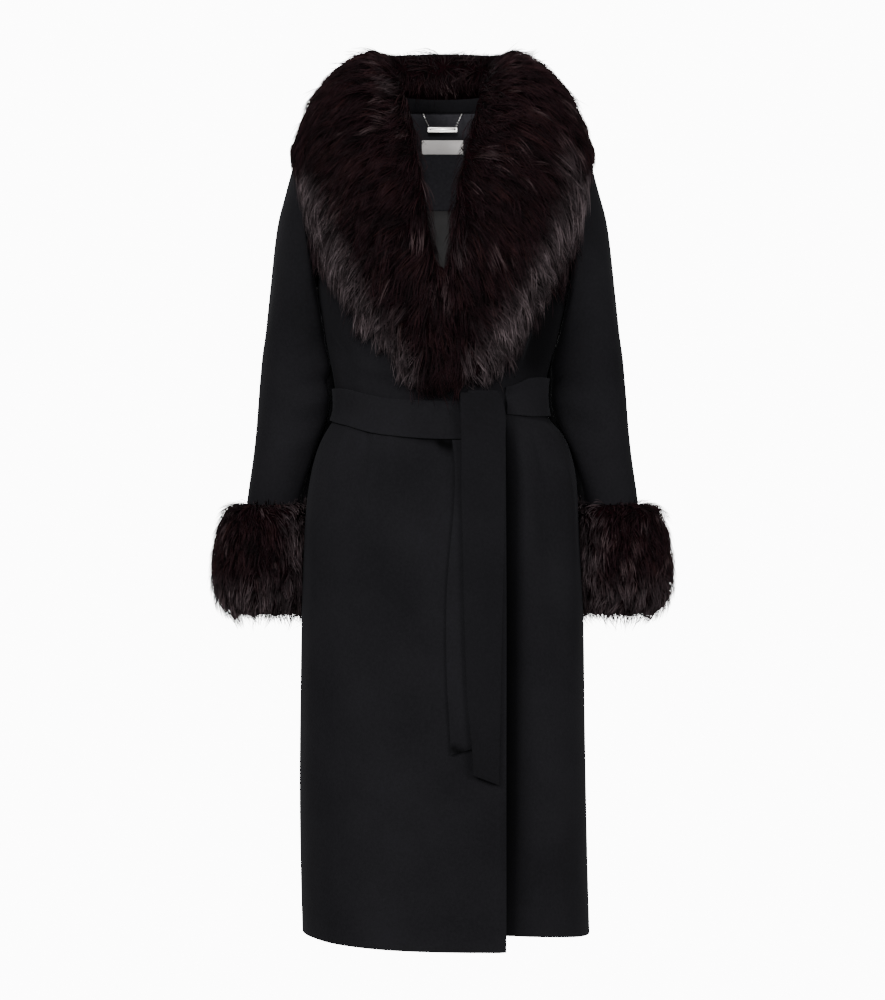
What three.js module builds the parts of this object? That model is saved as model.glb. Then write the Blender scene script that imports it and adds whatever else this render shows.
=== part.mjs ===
// A long wool wrap coat with a fur shawl collar, fur cuffs and a tied belt. It is hollow, in the shape it
// has when worn.
// Millimetres, +Z up. The front faces -Y, and the wearer's left side is +X.
// The origin is the middle of the neck opening, level with the back neck seam.
import * as THREE from "three";

// Driving sizes
const cloth = 2; // wall of the double-faced wool
const thinCloth = 1.2; // facing, lining and collar stand
const seam = 0.3; // gap between two pieces that are sewn together
const lapGap = 1.4; // between the two fronts where one laps over the other
const facetRoom = 0.2; // what a flat face between two points of a curved panel takes of the gap beside it
const squareness = 2.3; // 2 makes the coat's sections ellipses, more makes them boxier
const underarmZ = -262;
const shoulderTipZ = -56;
const armholeTurn = { front: 22, back: 27 }; // how far the armhole reaches from the side line, in degrees
const neckZ = 3; // top edge of the fronts and back
const beltThickness = 3;
const barSize = { width: 44, height: 7.5, thick: 2.4 };

const colours = { wool: 0x141416, fur: 0x24141a, lining: 0x2b2b2e, label: 0xd6d3cc, metal: 0xb9b9bd };

// The coat's outside, a row for each level. right and left are half widths, the others are Y.
const bodyRows = [
  { z: -1190, right: 203, left: 213, front: -160, side: 0, back: 160 },
  { z: -1120, right: 205, left: 211, front: -158, side: 0, back: 158 },
  { z: -990, right: 207, left: 208, front: -155, side: 0, back: 155 },
  { z: -860, right: 206, left: 206, front: -152, side: 0, back: 152 },
  { z: -730, right: 204, left: 204, front: -148, side: 1, back: 149 },
  { z: -640, right: 201, left: 199, front: -143, side: 2, back: 146 },
  { z: -585, right: 198, left: 197, front: -139, side: 3, back: 142 },
  { z: -545, right: 193, left: 195, front: -134, side: 4, back: 136 },
  { z: -505, right: 184, left: 187, front: -127, side: 4, back: 125 },
  { z: -475, right: 171, left: 174, front: -120, side: 4, back: 113 },
  { z: -450, right: 157, left: 153, front: -114, side: 4, back: 102 },
  { z: -425, right: 155, left: 150, front: -112, side: 4, back: 99 },
  { z: -395, right: 158, left: 151, front: -114, side: 4, back: 100 },
  { z: -340, right: 169, left: 166, front: -125, side: 4, back: 108 },
  { z: -275, right: 179, left: 182, front: -139, side: 4, back: 118 },
  { z: -205, right: 185, left: 190, front: -142, side: 5, back: 124 },
  { z: -150, right: 189, left: 192, front: -133, side: 6, back: 124 },
  { z: -105, right: 193, left: 194, front: -115, side: 8, back: 119 },
  { z: -75, right: 196, left: 196, front: -98, side: 9, back: 112 },
  { z: -56, right: 192, left: 192, front: -82, side: 10, back: 107 },
  { z: -40, right: 163, left: 163, front: -68, side: 12, back: 100 },
  { z: -25, right: 133, left: 133, front: -56, side: 14, back: 93 },
  { z: -10, right: 102, left: 102, front: -46, side: 16, back: 85 },
  { z: 4, right: 74, left: 74, front: -38, side: 18, back: 76 },
  { z: 32, right: 68, left: 68, front: -34, side: 18, back: 71 },
  { z: 60, right: 68, left: 68, front: -34, side: 18, back: 72 },
];

// X of the front edges. over is the right front's edge, under the left front's, hidden below the belt.
const frontEdgeRows = [
  { z: -1200, over: 86, under: -78 },
  { z: -480, over: 85, under: -78 },
  { z: -430, over: 80, under: -70 },
  { z: -395, over: 60, under: -50 },
  { z: -340, over: 30, under: -22 },
  { z: -290, over: 6, under: 8 },
  { z: -250, over: -14, under: 20 },
  { z: -200, over: -26, under: 25 },
  { z: -150, over: -33, under: 29 },
  { z: -100, over: -41, under: 38 },
  { z: -56, over: -50, under: 48 },
  { z: -25, over: -58, under: 57 },
  { z: 4, over: -69, under: 69 },
];

// How far the lapping edge of the right front stands off the left front.
const lapLiftRows = [
  { z: -1200, lift: 5 },
  { z: -900, lift: 4 },
  { z: -600, lift: 6 },
  { z: -520, lift: 8 },
  { z: -475, lift: 3 },
  { z: -450, lift: 0 },
  { z: 4, lift: 0 },
];

// The largest soft folds: at is degrees from the centre front, deep is out for a ridge and in for a trough.
const foldRows = [
  { at: -62, wide: 9, deep: 4.5, top: -455, middle: -540, bottom: -820 },
  { at: -36, wide: 7, deep: -3, top: -470, middle: -560, bottom: -780 },
  { at: 46, wide: 8, deep: -5, top: -455, middle: -540, bottom: -1000 },
  { at: 66, wide: 8, deep: 4, top: -455, middle: -560, bottom: -900 },
  { at: 128, wide: 9, deep: 5, top: -450, middle: -560, bottom: -900 },
  { at: 152, wide: 8, deep: -5, top: -450, middle: -570, bottom: -960 },
  { at: 176, wide: 9, deep: 5, top: -450, middle: -600, bottom: -1100 },
  { at: 205, wide: 9, deep: -5, top: -450, middle: -560, bottom: -980 },
  { at: 232, wide: 10, deep: 5, top: -450, middle: -550, bottom: -860 },
  { at: 150, wide: 10, deep: -4, top: -240, middle: -340, bottom: -400 },
  { at: 208, wide: 10, deep: -4, top: -250, middle: -345, bottom: -400 },
  { at: 56, wide: 9, deep: -5, top: -250, middle: -340, bottom: -392 },
];

// One sleeve, a row for each ring from the shoulder to the wrist. inner and outer are distances from the
// middle of the coat, clear is how far the ring keeps off the coat's side.
const sleeveRows = [
  { inner: 184, innerZ: -270, outer: 208, outerZ: -63, y: 9, depth: 70, clear: 2 },
  { inner: 176, innerZ: -284, outer: 218, outerZ: -90, y: 11, depth: 75, clear: 2 },
  { inner: 172, innerZ: -306, outer: 230, outerZ: -133, y: 15, depth: 76, clear: 2 },
  { inner: 163, innerZ: -336, outer: 241, outerZ: -176, y: 21, depth: 74, clear: 2 },
  { inner: 153, innerZ: -372, outer: 251, outerZ: -256, y: 30, depth: 71, clear: 2 },
  { inner: 146, innerZ: -410, outer: 260, outerZ: -335, y: 38, depth: 68, clear: 2 },
  { inner: 145, innerZ: -448, outer: 266, outerZ: -400, y: 43, depth: 65, clear: 3 },
  { inner: 161, innerZ: -490, outer: 272, outerZ: -456, y: 46, depth: 62, clear: 4 },
  { inner: 178, innerZ: -535, outer: 279, outerZ: -516, y: 47, depth: 59, clear: 6 },
  { inner: 195, innerZ: -580, outer: 287, outerZ: -573, y: 46, depth: 57, clear: 10 },
  { inner: 206, innerZ: -640, outer: 292, outerZ: -637, y: 44, depth: 55, clear: 12 },
  { inner: 209, innerZ: -690, outer: 296, outerZ: -688, y: 42, depth: 54, clear: 12 },
  { inner: 211, innerZ: -731, outer: 299, outerZ: -730, y: 41, depth: 54, clear: 12 },
];
const sleevePoints = 20; // points of a ring

// The fur cuff: how far the fur reaches out from the sleeve at each level.
const cuffRows = [
  { z: -571, reach: 15 },
  { z: -580, reach: 33 },
  { z: -606, reach: 41 },
  { z: -645, reach: 45 },
  { z: -685, reach: 44 },
  { z: -715, reach: 36 },
  { z: -734, reach: 22 },
  { z: -740, reach: 6 },
];
const cuffClear = { right: 2.6, left: 2.1 }; // between the cuff and the sleeve in it

// The fur collar over the chest, from its tip up: inner and outer edge as X and Z, and the depth of the fur.
const chestFurRows = {
  right: [
    { inX: 14, inZ: -425, outX: -28, outZ: -427, depth: 14 },
    { inX: 20, inZ: -412, outX: -45, outZ: -418, depth: 26 },
    { inX: 21, inZ: -370, outX: -62, outZ: -384, depth: 34 },
    { inX: 15, inZ: -325, outX: -94, outZ: -345, depth: 38 },
    { inX: 7, inZ: -283, outX: -140, outZ: -296, depth: 40 },
    { inX: -2, inZ: -245, outX: -168, outZ: -252, depth: 42 },
    { inX: -12, inZ: -200, outX: -183, outZ: -206, depth: 44 },
    { inX: -19, inZ: -150, outX: -200, outZ: -158, depth: 44 },
    { inX: -26, inZ: -100, outX: -212, outZ: -122, depth: 42 },
  ],
  left: [
    { inX: 24, inZ: -409, outX: 62, outZ: -411, depth: 14 },
    { inX: 24, inZ: -392, outX: 78, outZ: -396, depth: 28 },
    { inX: 23, inZ: -366, outX: 102, outZ: -361, depth: 34 },
    { inX: 17, inZ: -325, outX: 128, outZ: -320, depth: 38 },
    { inX: 9.5, inZ: -283, outX: 152, outZ: -282, depth: 40 },
    { inX: 4, inZ: -245, outX: 174, outZ: -244, depth: 42 },
    { inX: 10, inZ: -200, outX: 195, outZ: -200, depth: 44 },
    { inX: 13, inZ: -150, outX: 208, outZ: -160, depth: 44 },
    { inX: 23, inZ: -100, outX: 217, outZ: -122, depth: 42 },
  ],
};

// The fur collar over the shoulder and round the neck, for the wearer's left side. Each row is a section:
// the edge next to the neck, the top of the roll, the outer edge, and the middle of the underside.
const neckFurRows = [
  { inner: [38, -62, -40], crown: [132, -98, -12], outer: [221, -44, -92], under: [125, -62, -52] },
  { inner: [52, -22, 6], crown: [138, -38, 46], outer: [224, -6, -76], under: [128, -14, -18] },
  { inner: [60, 16, 32], crown: [138, 24, 70], outer: [222, 34, -76], under: [132, 26, -14] },
  { inner: [56, 44, 36], crown: [116, 88, 73], outer: [205, 108, -84], under: [118, 72, -10] },
  { inner: [34, 62, 36], crown: [66, 118, 75], outer: [124, 152, -104], under: [78, 100, -14] },
  { inner: [0, 68, 36], crown: [0, 126, 77], outer: [0, 168, -112], under: [0, 112, -20] },
];

// The belt's edges on its way from the knot round the back to the knot again, by degrees from the centre
// front.
const beltRows = [
  { at: 33, top: -411, bottom: -450 },
  { at: 50, top: -397, bottom: -453 },
  { at: 90, top: -394, bottom: -451 },
  { at: 135, top: -398, bottom: -455 },
  { at: 180, top: -400, bottom: -457 },
  { at: 225, top: -402, bottom: -457 },
  { at: 270, top: -408, bottom: -456 },
  { at: 305, top: -413, bottom: -465 },
  { at: 335, top: -427, bottom: -480 },
  { at: 368, top: -431, bottom: -487 },
];

// The two hanging ends of the belt, from the knot down: X of the two edges, and how far the end stands off
// the coat.
const overEndRows = [
  { z: -419, left: 24, right: 76, off: 9 },
  { z: -432, left: 23, right: 79, off: 15 },
  { z: -460, left: 24, right: 81, off: 16 },
  { z: -492, left: 25, right: 82, off: 13 },
  { z: -560, left: 25, right: 82, off: 9 },
  { z: -640, left: 27, right: 81, off: 8 },
  { z: -740, left: 29, right: 79, off: 8 },
  { z: -850, left: 33, right: 77, off: 8 },
  { z: -958, left: 41, right: 75, off: 8 },
];
const overEndSlant = -14; // the right corner of the end hangs lower than the left
const underEndRows = [
  { z: -488, left: 13, right: 68, off: 2 },
  { z: -530, left: 17, right: 71, off: 1.2 },
  { z: -600, left: 14, right: 69, off: 1.2 },
  { z: -650, left: 9, right: 65, off: 1.2 },
  { z: -720, left: 5, right: 61, off: 1.2 },
  { z: -820, left: 6, right: 61, off: 1.2 },
  { z: -916, left: 11, right: 65, off: 1.2 },
];
const underEndSlant = 16;

const hangerX = 28; // each chain's anchor, either side of the middle
const hangerDrop = 19; // from the anchors to the top of the bar
const hangerGap = 1.3; // between the chains and the facing, at the anchors
const chainRadius = 0.9;
const barCorner = 1; // radius of the bar's corners
const barHole = { x: 18.5, up: 0.8, radius: 1.3 };

// ---- reading the tables ----

function smoothstep(from, to, value) {
  const t = Math.min(1, Math.max(0, (value - from) / (to - from)));
  return t * t * (3 - 2 * t);
}

// All the columns of a table at one value of its key, on a smooth curve through the rows.
function at(rows, key, value) {
  const rising = rows[1][key] > rows[0][key] ? 1 : -1;
  let i = 0;
  while (i < rows.length - 2 && rising * (value - rows[i + 1][key]) > 0) i += 1;
  const low = rows[i];
  const high = rows[i + 1];
  const before = rows[Math.max(0, i - 1)];
  const after = rows[Math.min(rows.length - 1, i + 2)];
  const span = high[key] - low[key];
  const t = Math.min(1, Math.max(0, (value - low[key]) / span));
  const out = { [key]: value };
  for (const column of Object.keys(low)) {
    if (column === key) continue;
    const slopeLow = before === low ? 0 : (high[column] - before[column]) / (high[key] - before[key]);
    const slopeHigh = after === high ? 0 : (after[column] - low[column]) / (after[key] - low[key]);
    out[column] =
      low[column] * (1 + 2 * t) * (1 - t) ** 2 +
      slopeLow * span * t * (1 - t) ** 2 +
      high[column] * t * t * (3 - 2 * t) +
      slopeHigh * span * t * t * (t - 1);
  }
  return out;
}

// Evenly spaced values from one end to the other.
function steps(from, to, count) {
  return Array.from({ length: count + 1 }, (_, i) => from + ((to - from) * i) / count);
}

// ---- the coat's outside as a surface ----

const turn = THREE.MathUtils.degToRad;

function foldOffset(angle, z) {
  let out = 0;
  for (const fold of foldRows) {
    if (z > fold.top || z < fold.bottom) continue;
    const away = ((angle - fold.at + 540) % 360) - 180;
    const end = z > fold.middle ? fold.top : fold.bottom;
    const along = smoothstep(end, fold.middle, z);
    out += fold.deep * Math.exp(-((away / fold.wide) ** 2)) * along;
  }
  return out;
}

// The point of the outside at an angle from the centre front, at a height, with no offset.
function ringPoint(angle, z) {
  const row = at(bodyRows, "z", z);
  const sine = Math.sin(turn(angle));
  const cosine = Math.cos(turn(angle));
  const across = Math.sign(sine) * Math.abs(sine) ** (2 / squareness);
  const along = Math.abs(cosine) ** (2 / squareness);
  const reach = cosine > 0 ? row.front - row.side : row.back - row.side;
  return new THREE.Vector3(across * (sine > 0 ? row.left : row.right), row.side + reach * along, z);
}

function outwardAt(angle, z) {
  const round = ringPoint(angle + 1, z).sub(ringPoint(angle - 1, z));
  const up = ringPoint(angle, z + 3).sub(ringPoint(angle, z - 3));
  return round.cross(up).normalize();
}

// A point on the outside, moved out by an offset. drop lowers it, for the hem.
function bodyPoint(angle, z, offset = 0, drop = 0) {
  const point = ringPoint(angle, z).addScaledVector(outwardAt(angle, z), offset + foldOffset(angle, z));
  point.z += drop * smoothstep(-1000, -1190, z);
  return point;
}

// The angle at which the outside has a given X, on the front.
function angleAtX(x, z) {
  const row = at(bodyRows, "z", z);
  const share = Math.min(0.999, Math.abs(x) / (x > 0 ? row.left : row.right));
  return (Math.sign(x) * Math.asin(share ** (squareness / 2)) * 180) / Math.PI;
}

// Half width of the coat's side at a Y and a height, on the side that side gives: 1 left, -1 right.
function sideX(y, z, side) {
  const row = at(bodyRows, "z", z);
  const reach = y > row.side ? row.back - row.side : row.front - row.side;
  const share = Math.min(1, Math.abs((y - row.side) / reach));
  return (side > 0 ? row.left : row.right) * (1 - share ** squareness) ** (1 / squareness);
}

// ---- solids ----

function geometryOf(points, faces) {
  const geometry = new THREE.BufferGeometry();
  const values = points.flatMap((p) => [p.x, p.y, p.z]);
  geometry.setAttribute("position", new THREE.Float32BufferAttribute(values, 3));
  geometry.setIndex(faces.flat());
  geometry.computeVertexNormals();
  return geometry;
}

// Normals of a grid of points, from each point's neighbours.
function gridNormals(grid, closed) {
  const columns = grid[0].length;
  return grid.map((row, i) =>
    row.map((_, j) => {
      const down = grid[Math.max(0, i - 1)][j];
      const up = grid[Math.min(grid.length - 1, i + 1)][j];
      const back = closed ? row[(j + columns - 1) % columns] : row[Math.max(0, j - 1)];
      const on = closed ? row[(j + 1) % columns] : row[Math.min(columns - 1, j + 1)];
      return on.clone().sub(back).cross(up.clone().sub(down)).normalize();
    }),
  );
}

// A closed solid between two grids of points of the same size, the outer and the inner face of a wall.
function shell(outer, inner, closed = false) {
  const rows = outer.length;
  const columns = outer[0].length;
  const points = [...outer.flat(), ...inner.flat()];
  const index = (i, j, layer) => layer * rows * columns + i * columns + (j % columns);
  const faces = [];
  const quad = (a, b, c, d) => faces.push([a, b, c], [a, c, d]);
  const spans = closed ? columns : columns - 1;
  const top = rows - 1;
  const end = columns - 1;
  for (let i = 0; i < top; i += 1) {
    for (let j = 0; j < spans; j += 1) {
      quad(index(i, j, 0), index(i, j + 1, 0), index(i + 1, j + 1, 0), index(i + 1, j, 0));
      quad(index(i, j, 1), index(i + 1, j, 1), index(i + 1, j + 1, 1), index(i, j + 1, 1));
    }
  }
  for (let j = 0; j < spans; j += 1) {
    quad(index(0, j, 1), index(0, j + 1, 1), index(0, j + 1, 0), index(0, j, 0));
    quad(index(top, j, 0), index(top, j + 1, 0), index(top, j + 1, 1), index(top, j, 1));
  }
  if (!closed) {
    for (let i = 0; i < top; i += 1) {
      quad(index(i, 0, 0), index(i + 1, 0, 0), index(i + 1, 0, 1), index(i, 0, 1));
      quad(index(i, end, 1), index(i + 1, end, 1), index(i + 1, end, 0), index(i, end, 0));
    }
  }
  return geometryOf(points, faces);
}

// A point of a grid at a column and a row that may lie between two, moved along its normal.
function onGrid(grid, column, row, offset) {
  const normals = gridNormals(grid, false);
  const i = Math.min(grid.length - 2, Math.floor(row));
  const j = Math.min(grid[0].length - 2, Math.floor(column));
  const between = (net) => {
    const low = net[i][j].clone().lerp(net[i][j + 1], column - j);
    const high = net[i + 1][j].clone().lerp(net[i + 1][j + 1], column - j);
    return low.lerp(high, row - i);
  };
  return between(grid).addScaledVector(between(normals).normalize(), offset);
}

// A wall on a grid of outside points, whose rows run up and whose columns run along. It thickens inwards.
function wall(grid, thickness, closed = false) {
  const normals = gridNormals(grid, closed);
  const inner = grid.map((row, i) => row.map((p, j) => p.clone().addScaledVector(normals[i][j], -thickness)));
  return shell(grid, inner, closed);
}

// A solid through closed sections with the same number of points, capped at both ends, or joined end to end.
function loft(sections, ring = false) {
  const count = sections[0].length;
  const points = sections.flat();
  const faces = [];
  const last = ring ? sections.length : sections.length - 1;
  for (let i = 0; i < last; i += 1) {
    const here = i * count;
    const next = ((i + 1) % sections.length) * count;
    for (let j = 0; j < count; j += 1) {
      const k = (j + 1) % count;
      faces.push([here + j, here + k, next + k], [here + j, next + k, next + j]);
    }
  }
  if (!ring) {
    for (const [section, flip] of [[0, true], [sections.length - 1, false]]) {
      const middle = new THREE.Vector3();
      sections[section].forEach((p) => middle.addScaledVector(p, 1 / count));
      points.push(middle);
      for (let j = 0; j < count; j += 1) {
        const a = section * count + j;
        const b = section * count + ((j + 1) % count);
        faces.push(flip ? [b, a, points.length - 1] : [a, b, points.length - 1]);
      }
    }
  }
  return geometryOf(points, faces);
}

const finishes = {};
for (const [name, color] of Object.entries(colours)) {
  const shine = name === "metal" ? { roughness: 0.3, metalness: 1 } : { roughness: 0.9, metalness: 0 };
  finishes[name] = new THREE.MeshStandardMaterial({ color, ...shine });
}
const coat = new THREE.Group();

// Adds a piece to the coat. A grid laid the other way round gives a shape that is inside out, which this
// turns back.
function piece(name, geometry, finish) {
  const position = geometry.getAttribute("position");
  const index = geometry.getIndex();
  const corner = (i) => new THREE.Vector3().fromBufferAttribute(position, index.getX(i));
  let volume = 0;
  for (let i = 0; i < index.count; i += 3) volume += corner(i).dot(corner(i + 1).cross(corner(i + 2)));
  if (volume < 0) {
    const turned = Array.from(index.array);
    for (let i = 0; i < turned.length; i += 3) {
      turned[i + 1] = index.getX(i + 2);
      turned[i + 2] = index.getX(i + 1);
    }
    geometry.setIndex(turned);
    geometry.computeVertexNormals();
  }
  const mesh = new THREE.Mesh(geometry, finishes[finish]);
  mesh.name = name;
  coat.add(mesh);
}

// ---- back and fronts ----

const panelLevels = [
  -1190, -1120, -1030, -940, -850, -760, -680, -620, -575, -535, -500, -472, -450, -425, -395, -355, -310,
  underarmZ, -220, -180, -140, -105, -80, shoulderTipZ, -38, -20, neckZ,
];
const sideGap = 0.02; // degrees by which a panel stops short of the side seam

// How far the armhole's edge lies from the side line, in degrees, at a height.
function armholeReach(z, part) {
  const middle = (underarmZ + shoulderTipZ) / 2;
  const half = (shoulderTipZ - underarmZ) / 2;
  const share = (z - middle) / half;
  return Math.abs(share) < 1 ? armholeTurn[part] * Math.sqrt(1 - share * share) : 0;
}

// The room that the left front takes under the right one: none above the place where their edges cross.
function lapThickness(z) {
  return (cloth + lapGap) * (1 - smoothstep(-290, -200, z));
}

// How far the right front lies outside the coat's own surface, so that it clears the left front.
function lapOffset(angle, z) {
  const edge = angleAtX(at(frontEdgeRows, "z", z).over, z);
  const lifted = at(lapLiftRows, "z", z).lift * smoothstep(edge - 30, edge, angle);
  const overUnder = smoothstep(-62, -42, angle); // the left front ends at about -38 degrees
  return lapThickness(z) * overUnder + lifted;
}

// A panel of the coat. place gives the angle, the offset and the drop of the hem, at a share of the way
// along a level.
function panel(columns, place) {
  const face = (inwards) =>
    panelLevels.map((z) =>
      steps(0, 1, columns).map((share) => {
        const { angle, offset = 0, drop = 0 } = place(share, z);
        return bodyPoint(angle, z, offset - inwards, drop);
      }),
    );
  return { outer: face(0), inner: face(cloth) };
}

const backColumns = 18;
const back = panel(backColumns, (share, z) => {
  const from = 90 + Math.max(sideGap, armholeReach(z, "back"));
  return { angle: THREE.MathUtils.lerp(from, 360 - from, share), drop: 3 };
});

const frontLeft = panel(13, (share, z) => {
  const from = angleAtX(at(frontEdgeRows, "z", z).under, z);
  const to = 90 - Math.max(sideGap, armholeReach(z, "front"));
  const angle = THREE.MathUtils.lerp(from, to, share);
  return { angle, drop: 16 * smoothstep(85, 15, angle) - 3 };
});

const frontRight = panel(15, (share, z) => {
  const from = -90 + Math.max(sideGap, armholeReach(z, "front"));
  const to = angleAtX(at(frontEdgeRows, "z", z).over, z);
  const angle = THREE.MathUtils.lerp(from, to, share);
  return { angle, offset: lapOffset(angle, z), drop: -7 * smoothstep(-80, 20, angle) };
});

for (const [name, panelOf] of [["back", back], ["front_left", frontLeft], ["front_right", frontRight]]) {
  piece(name, shell(panelOf.outer, panelOf.inner), "wool");
}

// ---- sleeves and fur cuffs ----

// The armhole's loop, a little inside the edges of the front and back. 0 degrees is the shoulder, 180 the
// underarm.
function armholeRing(side) {
  const middle = (underarmZ + shoulderTipZ) / 2;
  const half = (shoulderTipZ - underarmZ) / 2 - 2 * seam;
  const seamTurn = 0.35; // degrees inside the panels' edge
  return steps(0, 360, sleevePoints).slice(0, -1).map((round) => {
    const z = middle + half * Math.cos(turn(round));
    const part = round < 180 ? "back" : "front";
    const reach = Math.max(0, armholeReach(z, part) - seamTurn);
    return bodyPoint(side * (90 + (part === "back" ? reach : -reach)), z, seam);
  });
}

// Room for the belt between the coat's side and the sleeve.
function beltRoom(z) {
  return 7 * (smoothstep(-478, -458, z) - smoothstep(-396, -376, z));
}

function sleeveRing(row, side) {
  return steps(0, 360, sleevePoints).slice(0, -1).map((round) => {
    const cosine = Math.cos(turn(round));
    const sine = Math.sin(turn(round));
    const across = Math.sign(cosine) * Math.abs(cosine) ** (2 / squareness);
    const along = Math.sign(sine) * Math.abs(sine) ** (2 / squareness);
    const y = row.y + row.depth * along;
    const z = (row.outerZ + row.innerZ) / 2 + ((row.outerZ - row.innerZ) / 2) * across;
    const x = (row.outer + row.inner) / 2 + ((row.outer - row.inner) / 2) * across;
    return new THREE.Vector3(side * Math.max(x, sideX(y, z, side) + row.clear + beltRoom(z)), y, z);
  });
}

function sleeve(side) {
  const rings = [armholeRing(side), ...sleeveRows.map((row) => sleeveRing(row, side))];
  return wall(side > 0 ? rings.map((ring) => ring.reverse()) : rings, cloth, true);
}

// A level ring of the sleeve's outside near the wrist, moved out, and kept off the coat's side.
function cuffRing(z, offset, side) {
  const row = { ...at(sleeveRows, "innerZ", z), innerZ: z, outerZ: z };
  const ring = sleeveRing(row, side);
  const normals = gridNormals([ring, ring.map((p) => p.clone().setZ(z + 1))], true)[0];
  const middle = new THREE.Vector3((side * (row.outer + row.inner)) / 2, row.y, z);
  return ring.map((p, i) => {
    const outward = normals[i].dot(p.clone().sub(middle)) > 0 ? 1 : -1;
    const moved = p.clone().addScaledVector(normals[i], outward * offset);
    const least = sideX(moved.y, z, side) + 3;
    moved.x = side * Math.max(side * moved.x, least);
    return moved;
  });
}

function furCuff(side, clear) {
  const outside = cuffRows.map((row) => cuffRing(row.z, row.reach, side));
  const inside = [...cuffRows].reverse().map((row) => cuffRing(row.z, clear, side));
  return loft([...outside, ...inside], true);
}

for (const [name, side] of [["right", -1], ["left", 1]]) {
  piece("sleeve_" + name, sleeve(side), "wool");
  piece("fur_cuff_" + name, furCuff(side, cuffClear[name]), "fur");
}

// ---- fur collar ----

const standTop = 22; // upper edge of the collar stand, under the fur
const furSteps = 8; // points across a section, on its upper and on its lower side
const furGap = 1.2; // between the fur's underside and the front it is sewn to
const furRoll = 2.6; // 2 makes the top of the fur's section round, more makes it flatter
const sleeveHead = { from: 195, width: 42, depth: 70 }; // the sleeve's top beside the chest, in X and Y

// How deep the front of the coat is at an X and a height, with the sleeve heads beside it.
function bedDepth(x, z) {
  const row = at(bodyRows, "z", z);
  const share = Math.min(1, Math.abs(x) / row.right);
  const chest = (row.side - row.front) * (1 - share ** squareness) ** (1 / squareness);
  const past = Math.min(1, Math.max(0, (Math.abs(x) - sleeveHead.from) / sleeveHead.width));
  const head = sleeveHead.depth * (1 - past ** squareness) ** (1 / squareness);
  return (chest ** 4 + head ** 4) ** 0.25;
}

function chestPoint(x, z, offset) {
  const middle = at(bodyRows, "z", z).side;
  return new THREE.Vector3(x, middle - bedDepth(x, z) - offset, z);
}

// The height of the coat's top at a place in plan: the collar stand's edge, the shoulder or the sleeve.
function topAt(x, y) {
  const inRing = (z, more) => {
    const row = at(bodyRows, "z", z);
    const sleeveTop = z < shoulderTipZ ? 18 + (shoulderTipZ - z) * 0.35 : 0;
    const reach = y > row.side ? row.back - row.side : row.side - row.front;
    const across = Math.abs(x) / (row.left + sleeveTop + more);
    return across ** squareness + (Math.abs(y - row.side) / (reach + more)) ** squareness < 1;
  };
  if (inRing(neckZ, 4)) return standTop;
  let [low, high] = [-250, neckZ];
  for (let i = 0; i < 20; i += 1) {
    const middle = (low + high) / 2;
    if (inRing(middle, 3)) low = middle;
    else high = middle;
  }
  return low;
}

// How deep the fur is across a section: rolled over at the inner edge, full in the middle, thin at the
// outer edge.
function furDepth(depth, share) {
  const inner = depth * 0.62;
  const outer = Math.min(10, depth * 0.5);
  const edge = inner + (outer - inner) * share;
  return edge + (depth - edge) * (1 - Math.abs(2 * share - 1) ** furRoll);
}

function chestSection(row) {
  const gap = furGap + (row.inX > row.outX ? lapThickness(row.inZ) : 0);
  const along = steps(0, 1, furSteps);
  const point = (t, offset) => {
    const x = THREE.MathUtils.lerp(row.inX, row.outX, t);
    return chestPoint(x, THREE.MathUtils.lerp(row.inZ, row.outZ, t), offset);
  };
  const upper = along.map((t) => point(t, gap + furDepth(row.depth, t)));
  const lower = [...along].reverse().map((t) => point(t, gap));
  return [...upper, ...lower];
}

function neckSection(row, side) {
  const corner = (name) => new THREE.Vector3(side * row[name][0], row[name][1], row[name][2]);
  const chord = corner("inner").add(corner("outer")).multiplyScalar(0.5);
  const along = steps(0, 1, furSteps);
  const curve = (name, t, power) => {
    const bulge = corner(name).sub(chord).multiplyScalar(1 - Math.abs(2 * t - 1) ** power);
    return corner("inner").lerp(corner("outer"), t).add(bulge);
  };
  const edge = new THREE.Vector3(0, 0, 6); // half the fur's thickness at its two edges
  const leastFur = 10;
  const overTop = 3; // between the underside and the shoulder
  const upper = along.map((t) => curve("crown", t, furRoll).add(edge));
  const lower = [...along].reverse().map((t) => curve("under", t, 2).sub(edge));
  lower.forEach((p) => p.setZ(Math.max(p.z, topAt(p.x, p.y) + overTop)));
  upper.forEach((p, i) => p.setZ(Math.max(p.z, lower[furSteps - i].z + leastFur)));
  return [...upper, ...lower];
}

// More sections, on smooth curves through the points of those given.
function refine(sections, perSpan) {
  const curves = sections[0].map((_, i) => new THREE.CatmullRomCurve3(sections.map((section) => section[i])));
  const shares = steps(0, 1, (sections.length - 1) * perSpan);
  return shares.map((t) => curves.map((curve) => curve.getPoint(t)));
}

function blendSections(a, b, t) {
  return a.map((p, i) => p.clone().lerp(b[i], t));
}

for (const [name, side] of [["right", -1], ["left", 1]]) {
  const chest = chestFurRows[name].map(chestSection);
  const neck = neckFurRows.slice(0, 3).map((row) => neckSection(row, side));
  piece("fur_collar_" + name, loft(refine([...chest, ...neck], 2)), "fur");
}

const rightBack = neckFurRows.slice(2).map((row) => neckSection(row, -1));
const leftBack = neckFurRows.slice(2, -1).map((row) => neckSection(row, 1)).reverse();
const roundBack = refine([...rightBack, ...leftBack], 3);
const collarSeam = 0.1; // share of the way to the next section that the back length stops short by
roundBack[0] = blendSections(roundBack[0], roundBack[1], collarSeam);
roundBack[roundBack.length - 1] = blendSections(roundBack.at(-1), roundBack.at(-2), collarSeam);
piece("fur_collar_back", loft(roundBack), "fur");

// ---- collar stand, facing, lining and label inside the back neck ----

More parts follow.
